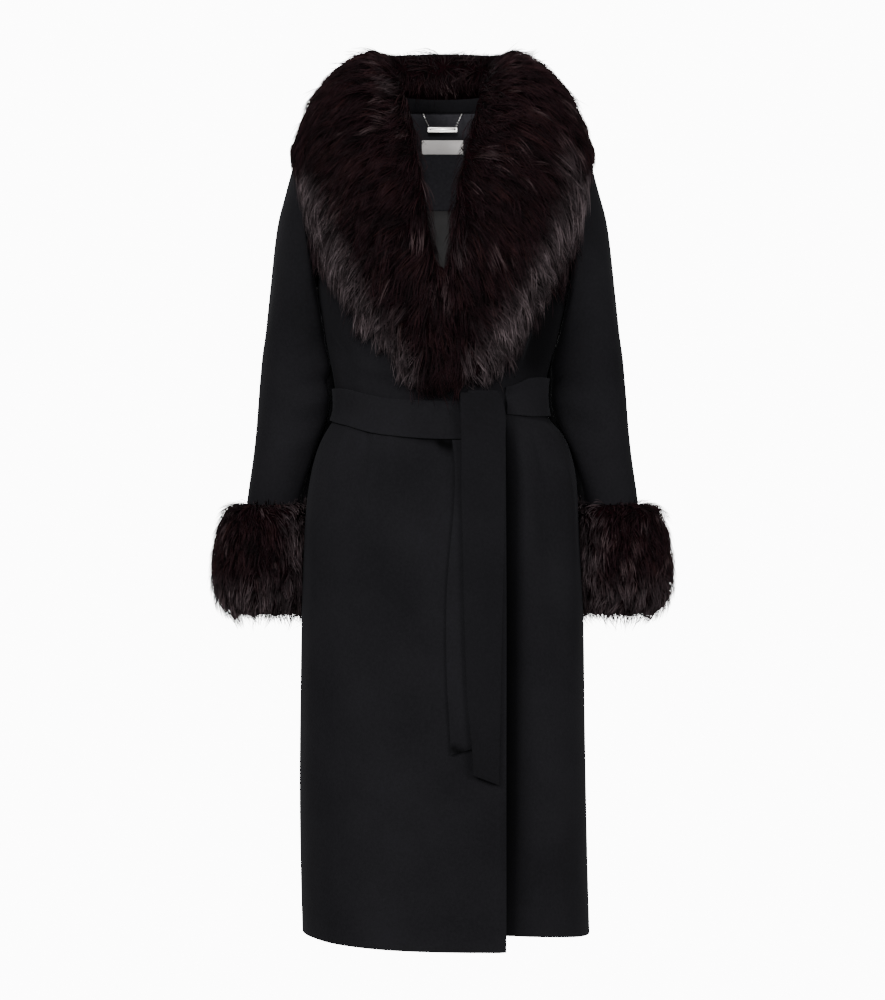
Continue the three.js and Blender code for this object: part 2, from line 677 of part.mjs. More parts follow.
// The row of the back's grid at a height, and its column at an X and a height.
function rowAt(z) {
  const i = Math.min(panelLevels.length - 2, panelLevels.findLastIndex((level) => level <= z));
  return i + (z - panelLevels[i]) / (panelLevels[i + 1] - panelLevels[i]);
}

function columnAtX(x, z) {
  let [low, high] = [0, backColumns];
  for (let i = 0; i < 20; i += 1) {
    const middle = (low + high) / 2;
    if (onGrid(back.outer, middle, rowAt(z), 0).x > x) low = middle;
    else high = middle;
  }
  return low;
}

// A thin piece on the inside of the back, a grid of columns of the back and of heights.
function onBack(columns, heights, offset, thickness) {
  const pointAt = (column, z) => onGrid(back.outer, column, rowAt(z), offset);
  const grid = heights.map((heightAt) => columns.map((column) => pointAt(column, heightAt(column))));
  return wall(grid, thickness);
}

const inside = -(cloth + seam + facetRoom);
const middleColumn = backColumns / 2;
const facingHalf = 6; // columns of the back that the facing reaches either side of the middle
const facingLow = (column) => -136 + 26 * (Math.abs(column - middleColumn) / facingHalf) ** 2;
const facingColumns = steps(middleColumn - facingHalf, middleColumn + facingHalf, 2 * facingHalf);
const facingLevels = [-105, -80, shoulderTipZ, -38, -20, neckZ - 1];
const facingHeights = [facingLow, ...facingLevels.map((z) => () => z)];
piece("back_facing", onBack(facingColumns, facingHeights, inside, thinCloth), "wool");

const liningHalf = 4;
const liningColumns = steps(middleColumn - liningHalf, middleColumn + liningHalf, 2 * liningHalf);
const liningTop = (column) => facingLow(column) - 2 * seam;
const liningHeights = [...[-310, underarmZ, -220, -180].map((z) => () => z), liningTop];
piece("back_lining", onBack(liningColumns, liningHeights, inside, thinCloth), "lining");

const standAngles = steps(96, 264, 14); // from one shoulder seam round the back to the other
const standLevels = steps(neckZ + seam + facetRoom, standTop, 2);
const standGrid = standLevels.map((z) => standAngles.map((angle) => bodyPoint(angle, z, -facetRoom)));
piece("collar_stand", wall(standGrid, thinCloth), "wool");

const label = { half: 31, top: -33, bottom: -53, thick: 0.8 };
const onFacing = inside - thinCloth - seam - 2 * facetRoom;
const labelGrid = [label.bottom, label.top].map((z) =>
  steps(label.half, -label.half, 6).map((x) => onGrid(back.outer, columnAtX(x, z), rowAt(z), onFacing)),
);
piece("neck_label", wall(labelGrid, label.thick), "label");

// ---- belt ----

function beltOffset(angle, z) {
  const front = ((angle + 180) % 360) - 180;
  return front < 20 && front > -90 ? lapOffset(front, z) : 0;
}

const beltGap = 1.2; // between the belt and the coat
const beltGrid = steps(0, 1, 3).map((share) =>
  steps(beltRows[0].at, beltRows.at(-1).at, 40).map((angle) => {
    const row = at(beltRows, "at", angle);
    const z = row.bottom + (row.top - row.bottom) * share;
    return bodyPoint(angle, z, beltOffset(angle, z) + seam + beltThickness + beltGap);
  }),
);
piece("belt_waist", wall(beltGrid, beltThickness), "wool");

function hangingEnd(rows, slant, count) {
  const levels = steps(rows.at(-1).z, rows[0].z, count);
  const grid = levels.map((z) => {
    const row = at(rows, "z", z);
    const low = smoothstep(rows[0].z, rows.at(-1).z, z) ** 4;
    return steps(0, 1, 4).map((share) => {
      const x = row.left + (row.right - row.left) * share;
      const angle = angleAtX(x, z);
      return bodyPoint(angle, z, lapOffset(angle, z) + row.off + beltThickness).add(
        new THREE.Vector3(0, 0, slant * low * (share - 0.5)),
      );
    });
  });
  return wall(grid, beltThickness);
}

piece("belt_end_over", hangingEnd(overEndRows, overEndSlant, 16), "wool");
piece("belt_end_under", hangingEnd(underEndRows, underEndSlant, 12), "wool");

// The knot: the turn of the belt under the hanging end, where both runs meet.
const knot = { from: 34, to: 74, middle: -450, half: 34, off: 11, bulge: 3, thick: 4 };
const knotGrid = steps(knot.middle - knot.half, knot.middle + knot.half, 4).map((z) => {
  const full = 1 - Math.abs((z - knot.middle) / knot.half) ** 3;
  return steps(knot.from, knot.to, 4).map((x) => bodyPoint(angleAtX(x, z), z, knot.off + knot.bulge * full));
});
piece("belt_knot", wall(knotGrid, knot.thick), "wool");

// ---- hanger ----

const anchor = onGrid(back.outer, columnAtX(hangerX + 1, 0), rowAt(0), inside - thinCloth);
const anchorY = anchor.y - hangerGap - 2 * facetRoom - chainRadius;

// The bar's outline, standing on its own X and Y.
const barX = barSize.width / 2 - barCorner;
const barY = barSize.height / 2 - barCorner;
const bar = new THREE.Shape();
bar.absarc(barX, -barY, barCorner, -Math.PI / 2, 0);
bar.absarc(barX, barY, barCorner, 0, Math.PI / 2);
bar.absarc(-barX, barY, barCorner, Math.PI / 2, Math.PI);
bar.absarc(-barX, -barY, barCorner, Math.PI, 1.5 * Math.PI);
for (const side of [-1, 1]) {
  const hole = new THREE.Path();
  hole.absarc(side * barHole.x, barHole.up, barHole.radius, 0, 2 * Math.PI, true);
  bar.holes.push(hole);
}
const barDepth = { depth: barSize.thick, bevelEnabled: false, curveSegments: 4 };
const barMesh = new THREE.Mesh(new THREE.ExtrudeGeometry(bar, barDepth), finishes.metal);
barMesh.name = "hanger_bar";
barMesh.rotation.x = Math.PI / 2;
barMesh.position.set(0, anchorY + barSize.thick / 2, -hangerDrop - barSize.height / 2);
coat.add(barMesh);

// Each chain runs down and in, to just above the bar beside its hole.
for (const [name, side] of [["right", -1], ["left", 1]]) {
  const from = new THREE.Vector3(side * hangerX, anchorY, 0);
  const to = new THREE.Vector3(side * (barHole.x + 2), anchorY, -hangerDrop + barHole.up);
  const geometry = new THREE.CylinderGeometry(chainRadius, chainRadius, from.distanceTo(to), 8);
  const chain = new THREE.Mesh(geometry, finishes.metal);
  chain.name = "hanger_chain_" + name;
  chain.position.copy(from).add(to).multiplyScalar(0.5);
  chain.quaternion.setFromUnitVectors(new THREE.Vector3(0, 1, 0), from.sub(to).normalize());
  coat.add(chain);
}

export default coat;
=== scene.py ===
# A long wrap coat of black wool with a fur shawl collar, fur cuffs and its own belt, standing as if worn.
# Lengths are in metres where no note says millimetres. The front faces -Y and the wearer's left is +X.
import math

import bmesh
import bpy
import numpy as np
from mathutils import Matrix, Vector
from mathutils.bvhtree import BVHTree


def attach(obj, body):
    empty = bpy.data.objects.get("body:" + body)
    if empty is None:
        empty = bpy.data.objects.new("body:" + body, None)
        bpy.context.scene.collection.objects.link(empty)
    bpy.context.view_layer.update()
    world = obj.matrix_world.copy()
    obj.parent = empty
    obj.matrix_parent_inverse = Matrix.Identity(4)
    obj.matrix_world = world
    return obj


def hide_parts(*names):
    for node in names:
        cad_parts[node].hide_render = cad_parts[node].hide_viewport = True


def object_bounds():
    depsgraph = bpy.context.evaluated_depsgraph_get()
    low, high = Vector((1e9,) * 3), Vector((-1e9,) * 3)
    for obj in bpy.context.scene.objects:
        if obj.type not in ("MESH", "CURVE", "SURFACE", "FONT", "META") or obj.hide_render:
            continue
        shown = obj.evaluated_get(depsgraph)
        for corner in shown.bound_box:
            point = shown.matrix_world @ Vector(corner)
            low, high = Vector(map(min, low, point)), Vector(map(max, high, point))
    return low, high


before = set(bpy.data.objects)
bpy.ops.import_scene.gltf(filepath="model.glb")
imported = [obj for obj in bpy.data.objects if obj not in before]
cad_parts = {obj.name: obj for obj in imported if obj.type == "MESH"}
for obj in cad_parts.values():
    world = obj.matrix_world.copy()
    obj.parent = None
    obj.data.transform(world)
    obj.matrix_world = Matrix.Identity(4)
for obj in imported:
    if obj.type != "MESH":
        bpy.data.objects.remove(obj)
cadBox = [list(corner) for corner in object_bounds()]
mm = 0.001


def link(thing):
    bpy.context.scene.collection.objects.link(thing)


# ---- camera and light ----

view = {
    "distance": 3.55,  # from the coat's middle to the lens
    "height": -0.570,  # of the lens
    "seenHeight": 1.450,  # what the long side of the view takes in at the coat's middle
    "sensor": 36,
}

camera = bpy.data.cameras.new("frontView")
camera.sensor_width = view["sensor"]
camera.lens = view["sensor"] * view["distance"] / view["seenHeight"]
cameraObject = bpy.data.objects.new("frontView", camera)
link(cameraObject)
cameraObject.location = (0, -view["distance"], view["height"])
cameraObject.rotation_euler = (math.pi / 2, 0, 0)
bpy.context.scene.camera = cameraObject

air = {"Color": (1, 1, 1, 1), "Strength": 0.5}
# A lit white wall so far behind that it hardly lights the coat.
backdrop = {"at": 26, "wide": 11.6, "low": -7.0, "high": 5.9}
backdropLook = {"Base Color": (0, 0, 0, 1), "Emission Color": (1, 1, 1, 1), "Emission Strength": 12}
# The floor lies below the coat, out of the front view.
ground = {"at": -1.53, "wide": 2.0}
groundLook = {"Base Color": (0.8, 0.8, 0.8, 1), "Roughness": 0.9}
lamps = {
    # name: place, target, size, watts
    "key": ((-2.1, -3.3, 1.5), (0, 0, -0.5), 1.1, 155),
    "fill": ((2.6, -2.9, 0.1), (0.1, 0, -0.7), 1.6, 95),
    "neck": ((-0.1, -4.0, 0.5), (0, 0, -0.1), 0.4, 70),
    "rim": ((-2.2, 2.2, 0.9), (0, 0, -0.3), 1.6, 20),
}


def only(piece):  # selects one object and nothing else
    bpy.ops.object.select_all(action="DESELECT")
    piece.select_set(True)
    bpy.context.view_layer.objects.active = piece


def nodesOf(name):  # a new node material, its tree, and its shader
    material = bpy.data.materials.new(name)
    material.use_nodes = True
    tree = material.node_tree
    return material, tree, tree.nodes["Principled BSDF"]


def setSockets(node, values):
    for socket, value in values.items():
        node.inputs[socket].default_value = value


def stagePlane(name, wide, tall, place, turned, look):
    bpy.ops.mesh.primitive_plane_add(size=1, location=place, rotation=(turned, 0, 0))
    plane = bpy.context.object
    plane.name = name
    plane.scale = (wide, tall, 1)
    material, _, shader = nodesOf(name)
    setSockets(shader, look)
    plane.data.materials.append(material)


def makeStudio():
    tall = backdrop["high"] - backdrop["low"]
    middle = (0, backdrop["at"], (backdrop["high"] + backdrop["low"]) / 2)
    stagePlane("studioWall", backdrop["wide"], tall, middle, math.pi / 2, backdropLook)
    stagePlane("studioFloor", ground["wide"], ground["wide"], (0, 0, ground["at"]), 0, groundLook)
    for name, (place, target, size, watts) in lamps.items():
        lamp = bpy.data.lights.new(name, "AREA")
        lamp.size = size
        lamp.energy = watts
        lampObject = bpy.data.objects.new(name, lamp)
        link(lampObject)
        lampObject.location = place
        aim = Vector(target) - Vector(place)
        lampObject.rotation_euler = aim.to_track_quat("-Z", "Y").to_euler()
    world = bpy.data.worlds.new("studioAir")
    world.use_nodes = True
    setSockets(world.node_tree.nodes["Background"], air)
    bpy.context.scene.world = world


makeStudio()
print("studio and camera ready")

# ---- cloth finishes ----

# In each look a noise is its scale in cycles a metre, its detail and its stretch, and a bump is its height in
# millimetres and its strength.
woolLook = {
    "dark": (0.0054, 0.0052, 0.0060),
    "light": (0.0088, 0.0085, 0.0098),
    "patch": (7, 4),  # broad shading of the dye
    "felt": (260, 4),  # felted clumps
    "nap": (1100, 2, (1, 1, 0.35)),  # single fibres, which lie down the cloth
    "patchShare": 0.6,
    "feltBump": (0.4, 0.4),
    "napBump": (0.2, 0.4),
    "roughness": (0.84, 0.98),
    "sockets": {
        "Specular IOR Level": 0.03,
        "Sheen Weight": 0.03,
        "Sheen Roughness": 0.45,
        "Sheen Tint": (0.5, 0.5, 0.55, 1),
    },
}
# Copies of the black wool, made lighter or darker: the belt's hanging end is darkened with painted shade, and
# the facing inside the neck is lightened with painted light where the collar shades it.
woolLitAndShadedCopies = {"blackWool": 1.0, "beltWool": 1.02, "paintedShadeHangingWool": 0.80, "paintedLightFacingWool": 4.8, "standWool": 1.0}


def newFinish(name, look):  # a material with its look's sockets set, and where its patterns sit
    material, tree, shader = nodesOf(name)
    setSockets(shader, look["sockets"])
    return material, tree, shader, tree.nodes.new("ShaderNodeTexCoord").outputs["Object"]


def addNoise(tree, coords, scale, detail, stretch=(1, 1, 1)):
    mapping = tree.nodes.new("ShaderNodeMapping")
    mapping.inputs["Scale"].default_value = stretch
    noise = tree.nodes.new("ShaderNodeTexNoise")
    noise.inputs["Scale"].default_value = scale
    noise.inputs["Detail"].default_value = detail
    tree.links.new(coords, mapping.inputs["Vector"])
    tree.links.new(mapping.outputs["Vector"], noise.inputs["Vector"])
    return noise.outputs["Fac"]


def addRamp(tree, value, dark, light, low=0.3, high=0.7):
    stops = [(low, tuple(dark) + (1,)), (high, tuple(light) + (1,))]
    ramp = tree.nodes.new("ShaderNodeValToRGB")
    for element, (place, colour) in zip(ramp.color_ramp.elements, stops):
        element.position = place
        element.color = colour
    tree.links.new(value, ramp.inputs["Fac"])
    return ramp.outputs["Color"]


def varyRoughness(tree, value, shader, low, high):
    tree.links.new(addRamp(tree, value, [low] * 3, [high] * 3), shader.inputs["Roughness"])


def addBump(tree, height, distance, strength, below=None):
    bump = tree.nodes.new("ShaderNodeBump")
    bump.inputs["Distance"].default_value = distance * mm
    bump.inputs["Strength"].default_value = strength
    tree.links.new(height, bump.inputs["Height"])
    if below is not None:
        tree.links.new(below, bump.inputs["Normal"])
    return bump.outputs["Normal"]


def addMath(tree, how, first, second):
    node = tree.nodes.new("ShaderNodeMath")
    node.operation = how
    for socket, value in zip(node.inputs, (first, second)):
        if isinstance(value, (int, float)):
            socket.default_value = value
        else:
            tree.links.new(value, socket)
    return node.outputs[0]


def blend(tree, first, second, share):  # share of the first and the rest of the second
    return addMath(
        tree, "ADD", addMath(tree, "MULTIPLY", first, share), addMath(tree, "MULTIPLY", second, 1 - share)
    )


def darkenWithPaintedShade(tree, colour):  # painted shade: the attribute darkens the colour, and is 0 where a piece has no such attribute
    mask = tree.nodes.new("ShaderNodeAttribute")
    mask.attribute_name = "paintedShade"
    scaled = tree.nodes.new("ShaderNodeVectorMath")
    scaled.operation = "SCALE"
    tree.links.new(colour, scaled.inputs[0])
    tree.links.new(addMath(tree, "SUBTRACT", 1.0, mask.outputs["Fac"]), scaled.inputs["Scale"])
    return scaled.outputs["Vector"]


def woolCloth(name, look, lighter):
    material, tree, shader, coords = newFinish(name, look)
    patch = addNoise(tree, coords, *look["patch"])
    felt = addNoise(tree, coords, *look["felt"])
    nap = addNoise(tree, coords, *look["nap"])
    dark, light = ([c * lighter for c in look[shade]] for shade in ("dark", "light"))
    dyed = addRamp(tree, blend(tree, patch, felt, look["patchShare"]), dark, light, 0.35, 0.65)
    tree.links.new(darkenWithPaintedShade(tree, dyed), shader.inputs["Base Color"])
    soft = addBump(tree, felt, *look["feltBump"])
    tree.links.new(addBump(tree, nap, *look["napBump"], soft), shader.inputs["Normal"])
    varyRoughness(tree, felt, shader, *look["roughness"])
    return material


def grainFinish(name, look):  # one fine pattern, in the colour and, where the look has a bump, in the height
    material, tree, shader, coords = newFinish(name, look)
    grain = addNoise(tree, coords, *look["grain"])
    tree.links.new(addRamp(tree, grain, look["dark"], look["light"]), shader.inputs["Base Color"])
    if "bump" in look:
        tree.links.new(addBump(tree, grain, *look["bump"]), shader.inputs["Normal"])
    return material


liningLook = {
    "dark": (0.015, 0.0135, 0.014),
    "light": (0.029, 0.0265, 0.027),
    "patch": (22, 4),
    "patchBump": (2, 0.4),
    "twill": {"Scale": 120, "Distortion": 0.4},
    "twillBump": (0.15, 0.4),
    "sockets": {"Roughness": 0.45, "Specular IOR Level": 0.12, "Sheen Weight": 0.02},
}


def satinLining(name, look):
    material, tree, shader, coords = newFinish(name, look)
    ribs = tree.nodes.new("ShaderNodeTexWave")
    ribs.bands_direction = "DIAGONAL"
    setSockets(ribs, look["twill"])
    tree.links.new(coords, ribs.inputs["Vector"])
    patch = addNoise(tree, coords, *look["patch"])
    tree.links.new(addRamp(tree, patch, look["dark"], look["light"]), shader.inputs["Base Color"])
    creased = addBump(tree, patch, *look["patchBump"])
    tree.links.new(addBump(tree, ribs.outputs["Fac"], *look["twillBump"], creased), shader.inputs["Normal"])
    return material


wools = {name: woolCloth(name, woolLook, lighter) for name, lighter in woolLitAndShadedCopies.items()}
lining = satinLining("greyLining", liningLook)

# ---- cloth pieces ----

weld = {"cloth": 0.02, "metal": 0.01}  # millimetres within which the CAD's corners are one
turnedEdge = {"cloth": 0.6, "belt": 0.9, "inside": 0.3, "label": 0.12, "metal": 0.25}  # millimetres
edgeAngle = {"cloth": 50, "thin": 40, "smooth": 60, "crease": 32, "quads": 60}  # degrees


def meshOf(node, name, material, merge, quads):  # a node's own mesh as a new object
    piece = bpy.data.objects.new(name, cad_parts[node].data.copy())
    link(piece)
    only(piece)
    bpy.ops.mesh.customdata_custom_splitnormals_clear()
    bpy.ops.object.mode_set(mode="EDIT")
    bpy.ops.mesh.select_all(action="SELECT")
    bpy.ops.mesh.remove_doubles(threshold=merge * mm)
    if quads:
        flattest = math.radians(edgeAngle["quads"])
        bpy.ops.mesh.tris_convert_to_quads(face_threshold=flattest, shape_threshold=math.pi)
    bpy.ops.object.mode_set(mode="OBJECT")
    piece.data.materials.clear()
    piece.data.materials.append(material)
    return piece


def copyOf(node, name, material):
    piece = meshOf(node, name, material, weld["cloth"], True)
    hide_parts(node)
    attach(piece, "coat")
    return piece


def holdEdges(piece, wall):  # creases the borders of a wall that thick, so that smoothing keeps them
    mesh = bmesh.new()
    mesh.from_mesh(piece.data)
    crease = mesh.edges.layers.float.get("crease_edge") or mesh.edges.layers.float.new("crease_edge")
    narrow = wall * mm * 1.35  # a little more than the wall
    rim = {f for f in mesh.faces if min(e.calc_length() for e in f.edges) < narrow}
    for edge in mesh.edges:
        onRim = [f in rim for f in edge.link_faces]
        turned = len(edge.link_faces) == 2 and edge.calc_face_angle(0) > math.radians(edgeAngle["crease"])
        edge[crease] = 1.0 if (any(onRim) and not all(onRim)) or (all(onRim) and turned) else 0.0
    mesh.to_mesh(piece.data)
    mesh.free()


def readPoints(mesh, count=None):
    points = np.empty(len(mesh.vertices) * 3)
    mesh.vertices.foreach_get("co", points)
    return points.reshape(-1, 3)[:count]


def writePoints(mesh, points):
    mesh.vertices.foreach_set("co", np.ravel(points))
    mesh.update()


def smoothThrough(piece, levels, rounds=4):  # a finer, smooth mesh that still runs through the old points
    finer = piece.modifiers.new("finer", "SUBSURF")
    finer.levels = levels
    finer.render_levels = levels
    finer.use_limit_surface = True
    wanted = readPoints(piece.data)
    held = wanted.copy()
    for _ in range(rounds):
        found = piece.evaluated_get(bpy.context.evaluated_depsgraph_get()).data
        held += wanted - readPoints(found, len(wanted))
        writePoints(piece.data, held)
    only(piece)
    bpy.ops.object.modifier_apply(modifier="finer")
    spare = piece.data.attributes.get("crease_edge")
    if spare:
        piece.data.attributes.remove(spare)


def softenEdges(piece, kind, angle="cloth"):  # turned edges are round, not sharp
    only(piece)
    bevel = piece.modifiers.new("turned", "BEVEL")
    bevel.width = turnedEdge[kind] * mm
    bevel.segments = 2
    bevel.limit_method = "ANGLE"
    bevel.angle_limit = math.radians(edgeAngle[angle])
    bpy.ops.object.modifier_apply(modifier="turned")
    bpy.ops.object.shade_smooth_by_angle(angle=math.radians(edgeAngle["smooth"]))


def smooth(low, high, value):  # from 0 at low to 1 at high
    t = np.clip((value - low) / (high - low), 0, 1)
    return t * t * (3 - 2 * t)


def unit(vectors):
    return vectors / np.maximum(np.linalg.norm(vectors, axis=1, keepdims=True), 1e-9)


# Each crease runs straight on the cloth laid out flat, in millimetres: along and up of its start and of its
# end, half its width, and its depth, out for a ridge. Along is round the coat or sleeve from its front, up is
# the height. A last item says where it begins, is fully formed, starts to fade and is gone, as shares of its
# length.
bodyCreases = [
    # the pinched fold above the belt at the left front, with a ridge on either side
    (112, -318, 120, -392, 8, -15),
    (90, -300, 104, -392, 10, 4),
    (143, -322, 134, -392, 9, 6),
    (166, -330, 152, -390, 8, -4),
    # the right front above the belt, full over it
    (-150, -380, -40, -402, 14, 3),
    (-178, -300, -120, -384, 9, -2.5),
    (-205, -340, -160, -388, 7, -3),
    # gathers below the belt at the front
    (-168, -462, -176, -600, 9, 2.5),
    (-128, -464, -126, -566, 7, -2.2),
    (-92, -468, -84, -640, 10, 2.2),
    (-40, -478, -30, -560, 8, -2),
    (128, -470, 138, -640, 10, 2.6),
    (160, -464, 170, -590, 8, -3),
    (192, -462, 206, -680, 11, 3),
    # long soft lines of the skirt
    (-190, -640, -196, -1090, 16, 2),
    (-60, -700, -46, -1120, 18, -1.6),
    (150, -720, 148, -1130, 16, 1.8),
    # sides and back
    (268, -464, 276, -640, 9, -3.5),
    (300, -462, 312, -760, 12, 3.5),
    (352, -468, 360, -620, 9, -3),
    (420, -470, 418, -700, 12, 3),
    (478, -470, 486, -600, 9, -3),
    (-268, -464, -274, -660, 10, -3.5),
    (-306, -462, -318, -720, 12, 3.2),
    (-366, -468, -372, -610, 8, -3),
    (-440, -470, -436, -740, 13, 3),
    (330, -250, 300, -388, 11, -3.5),
    (392, -230, 372, -388, 12, 3),
    (-336, -250, -304, -388, 11, -3.5),
    (-398, -236, -380, -388, 12, 3),
    (470, -300, 462, -390, 8, -2.5),
    (-476, -310, -470, -390, 8, -2.5),
    (400, -700, 404, -1120, 20, -2),
    (-404, -720, -410, -1100, 20, 2),
]
# The right front's edge stands a little off the left front, which falls away behind it.
rightCreases = bodyCreases + [(88, -440, 72, -1190, 7, 4, (0, 0.06, 0.9, 1.3))]
leftCreases = bodyCreases + [
    (108, -450, 92, -1190, 13, -20, (0, 0.06, 0.5, 1.4)),
    (112, -450, 96, -1190, 20, -5, (0, 0.06, 0.5, 1.2)),
]
sleeveCreases = [
    # the crook of the elbow, on the front and the inner side
    (-62, -392, 6, -412, 8, -4.5),
    (-70, -372, -4, -384, 8, 3),
    (-58, -420, 18, -446, 9, 3.4),
    (-48, -452, 26, -470, 8, -3),
    (-40, -480, 34, -512, 9, 2.6),
    (-60, -330, 0, -352, 10, -2.4),
    # the inner side, full against the body
    (-97, -236, -97, -306, 20, 4, (0, 0.3, 0.7, 1)),
    (-97, -340, -97, -420, 20, 3, (0, 0.3, 0.7, 1)),
    # the outer side, long and shallow
    (60, -210, 72, -330, 12, -2),
    (92, -340, 84, -470, 12, 2),
    (118, -420, 110, -540, 10, -2),
    (24, -500, 30, -568, 8, -1.8),
    (-20, -200, -34, -300, 11, -2.5),
    # the back of the sleeve
    (160, -300, 196, -352, 10, -2.6),
    (150, -400, 200, -430, 9, 2.4),
    (156, -470, 204, -500, 9, -2.2),
]


# Painted shade and painted shadow, put into the colour where little light reaches: the same rows, with the
# share of the colour that is lost as the depth.
leftPaintedShadows = [
    # painted shadow of the right front's edge on the left front, a dark strip down to the hem
    (108, -436, 93, -1190, 15, 0.92, (0, 0.01, 0.5, 1.5)),
    (101, -436, 84, -1190, 7, 0.5, (0, 0.01, 0.7, 1.5)),
    # painted shade in the pinched fold above the belt
    (113, -320, 120, -396, 6, 0.75),
    # painted shade under the collar and, beside it, next to the sleeve
    (196, -120, 176, -400, 34, 0.75, (0, 0.2, 0.9, 1.1)),
    (236, -180, 236, -520, 22, 0.8, (0, 0.2, 0.8, 1)),
]
rightPaintedShadows = [
    # painted shadow under the belt, where its end comes out and along its lower edge, and painted shade next
    # to the sleeve
    (-16, -488, 14, -494, 7, 0.9, (0, 0.6, 1, 1.3)),
    (-178, -456, -10, -487, 4, 0.6, (-0.1, 0, 1, 1.1)),
    (-234, -180, -234, -480, 16, 0.8, (0, 0.2, 0.7, 1)),
]
# Painted shade on the back's sides, between the body and the sleeves
sidePaintedShade = [(x, -150, x, -560, 34, 0.85, (0, 0.2, 0.7, 1)) for x in (-262, 262)]
# Painted shade in the folded tip of the end that lies under
underTipPaintedShade = [(14, -914, 34, -926, 6, 0.85, (-0.3, 0.1, 0.9, 1.3))]
# Painted shade on the sleeves' inner sides against the body, and a wider band on the left sleeve's inner
# front
innerPaintedShade = [(-97, -200, -97, -575, 24, 0.85, (0, 0.2, 0.8, 1))]
leftInnerPaintedShade = innerPaintedShade + [(-74, -150, -70, -470, 38, 0.55, (0, 0.2, 0.6, 1))]

usualTaper = (-0.12, 0.22, 0.45, 1.12)
deepestPaintedShade = 0.92  # share of the colour that painted shade can take away


def creaseDepth(along, up, creases):
    depth = np.zeros_like(along)
    for x0, z0, x1, z1, wide, deep, *taper in creases:
        length = math.hypot(x1 - x0, z1 - z0)
        ax, az = (x1 - x0) / length, (z1 - z0) / length
        reach = ((along - x0) * ax + (up - z0) * az) / length
        aside = (along - x0) * az - (up - z0) * ax
        begins, formed, fades, gone = taper[0] if taper else usualTaper
        height = smooth(begins, formed, reach) * (1 - smooth(fades, gone, reach))
        width = wide * (0.8 + 0.7 * np.clip(reach, 0, 1))  # it spreads along its length
        depth += deep * height * np.exp(-((aside / width) ** 2))
    return depth


middleOfBody = np.array([0, 0.002])
girthRadius = {"body": 165, "sleeve": 62}  # millimetres, which turn an angle into a place on the flat cloth


def outwards(flat):  # level and of length 1
    return np.column_stack([unit(flat), np.zeros(len(flat))])


def bodyPlace(points):  # where points lie on the coat laid out flat, and which way is out
    flat = points[:, :2] - middleOfBody
    angle = np.arctan2(flat[:, 0], -flat[:, 1])
    return angle * girthRadius["body"], points[:, 2] / mm, outwards(flat)


# The sleeve's middle line, for the wearer's left: height, X and Y
sleeveAxis = np.array([
    [-0.06, 0.190, 0.010],
    [-0.20, 0.208, 0.018],
    [-0.34, 0.212, 0.030],
    [-0.45, 0.215, 0.043],
    [-0.56, 0.238, 0.046],
    [-0.74, 0.255, 0.041],
])


def sleevePlace(side):
    def place(points):
        down = sleeveAxis[::-1]
        x = side * np.interp(points[:, 2], down[:, 0], down[:, 1])
        y = np.interp(points[:, 2], down[:, 0], down[:, 2])
        flat = np.column_stack([points[:, 0] - x, points[:, 1] - y])
        angle = np.arctan2(side * flat[:, 0], -flat[:, 1])  # 0 at the front, + to the outer side
        return angle * girthRadius["sleeve"], points[:, 2] / mm, outwards(flat)

    return place


def creaseCloth(piece, place, creases, fade=None):
    points = readPoints(piece.data)
    along, up, out = place(points)
    depth = creaseDepth(along, up, creases)
    if fade is not None:
        depth *= fade(up)
    writePoints(piece.data, points + out * depth[:, None] * mm)


# Paints shade into the colour: each point gets the share of its colour that painted shade and shadow take
# away.
def paintShade(piece, place, paintedShadeRows):
    along, up, _ = place(readPoints(piece.data))
    dark = piece.data.attributes.new("paintedShade", "FLOAT", "POINT")
    dark.data.foreach_set("value", np.clip(creaseDepth(along, up, paintedShadeRows), 0, deepestPaintedShade))


beltBand = {"lower": (-466, -456), "upper": (-404, -392)}  # heights where the belt's hold begins and ends


def belowBelt(up):  # the cloth is held flat under the belt
    return 1 - smooth(*beltBand["lower"], up) * (1 - smooth(*beltBand["upper"], up))


clothPieces = {
    # name: node, subdivision, where its creases lie, and where shade is painted into its colour
    "coatBack": ("back", 2, bodyPlace, bodyCreases, sidePaintedShade),
    "coatFrontRight": ("front_right", 3, bodyPlace, rightCreases, rightPaintedShadows),
    "coatFrontLeft": ("front_left", 3, bodyPlace, leftCreases, leftPaintedShadows),
    "sleeveRight": ("sleeve_right", 2, sleevePlace(-1), sleeveCreases, innerPaintedShade),
    "sleeveLeft": ("sleeve_left", 2, sleevePlace(1), sleeveCreases, leftInnerPaintedShade),
}

clothWall = 2  # millimetres
for name, (node, levels, place, creases, paintedShadeRows) in clothPieces.items():
    piece = copyOf(node, name, wools["blackWool"])
    holdEdges(piece, clothWall)
    smoothThrough(piece, levels)
    creaseCloth(piece, place, creases, belowBelt if place is bodyPlace else None)
    softenEdges(piece, "cloth")
    # painted shade and painted shadow in the colour
    paintShade(piece, place, paintedShadeRows)
    print("made", name, len(piece.data.polygons))

# ---- belt ----

# Along is round the waist from the centre front, as on the coat.
beltCreases = [
    (96, -424, 150, -414, 4.5, -2.2),
    (96, -434, 142, -438, 4.5, 1.8),
    (96, -446, 130, -452, 4, -1.8),
    (97, -412, 134, -398, 4, 1.6),
    (34, -452, -20, -444, 6, -1.6),
    (34, -470, -40, -466, 6, 1.4),
    (-150, -420, -90, -432, 6, -1.0),
    (260, -420, 320, -424, 6, -1.4),
    (-330, -430, -260, -428, 7, 1.2),
    (470, -430, 400, -424, 8, 1.2),
]
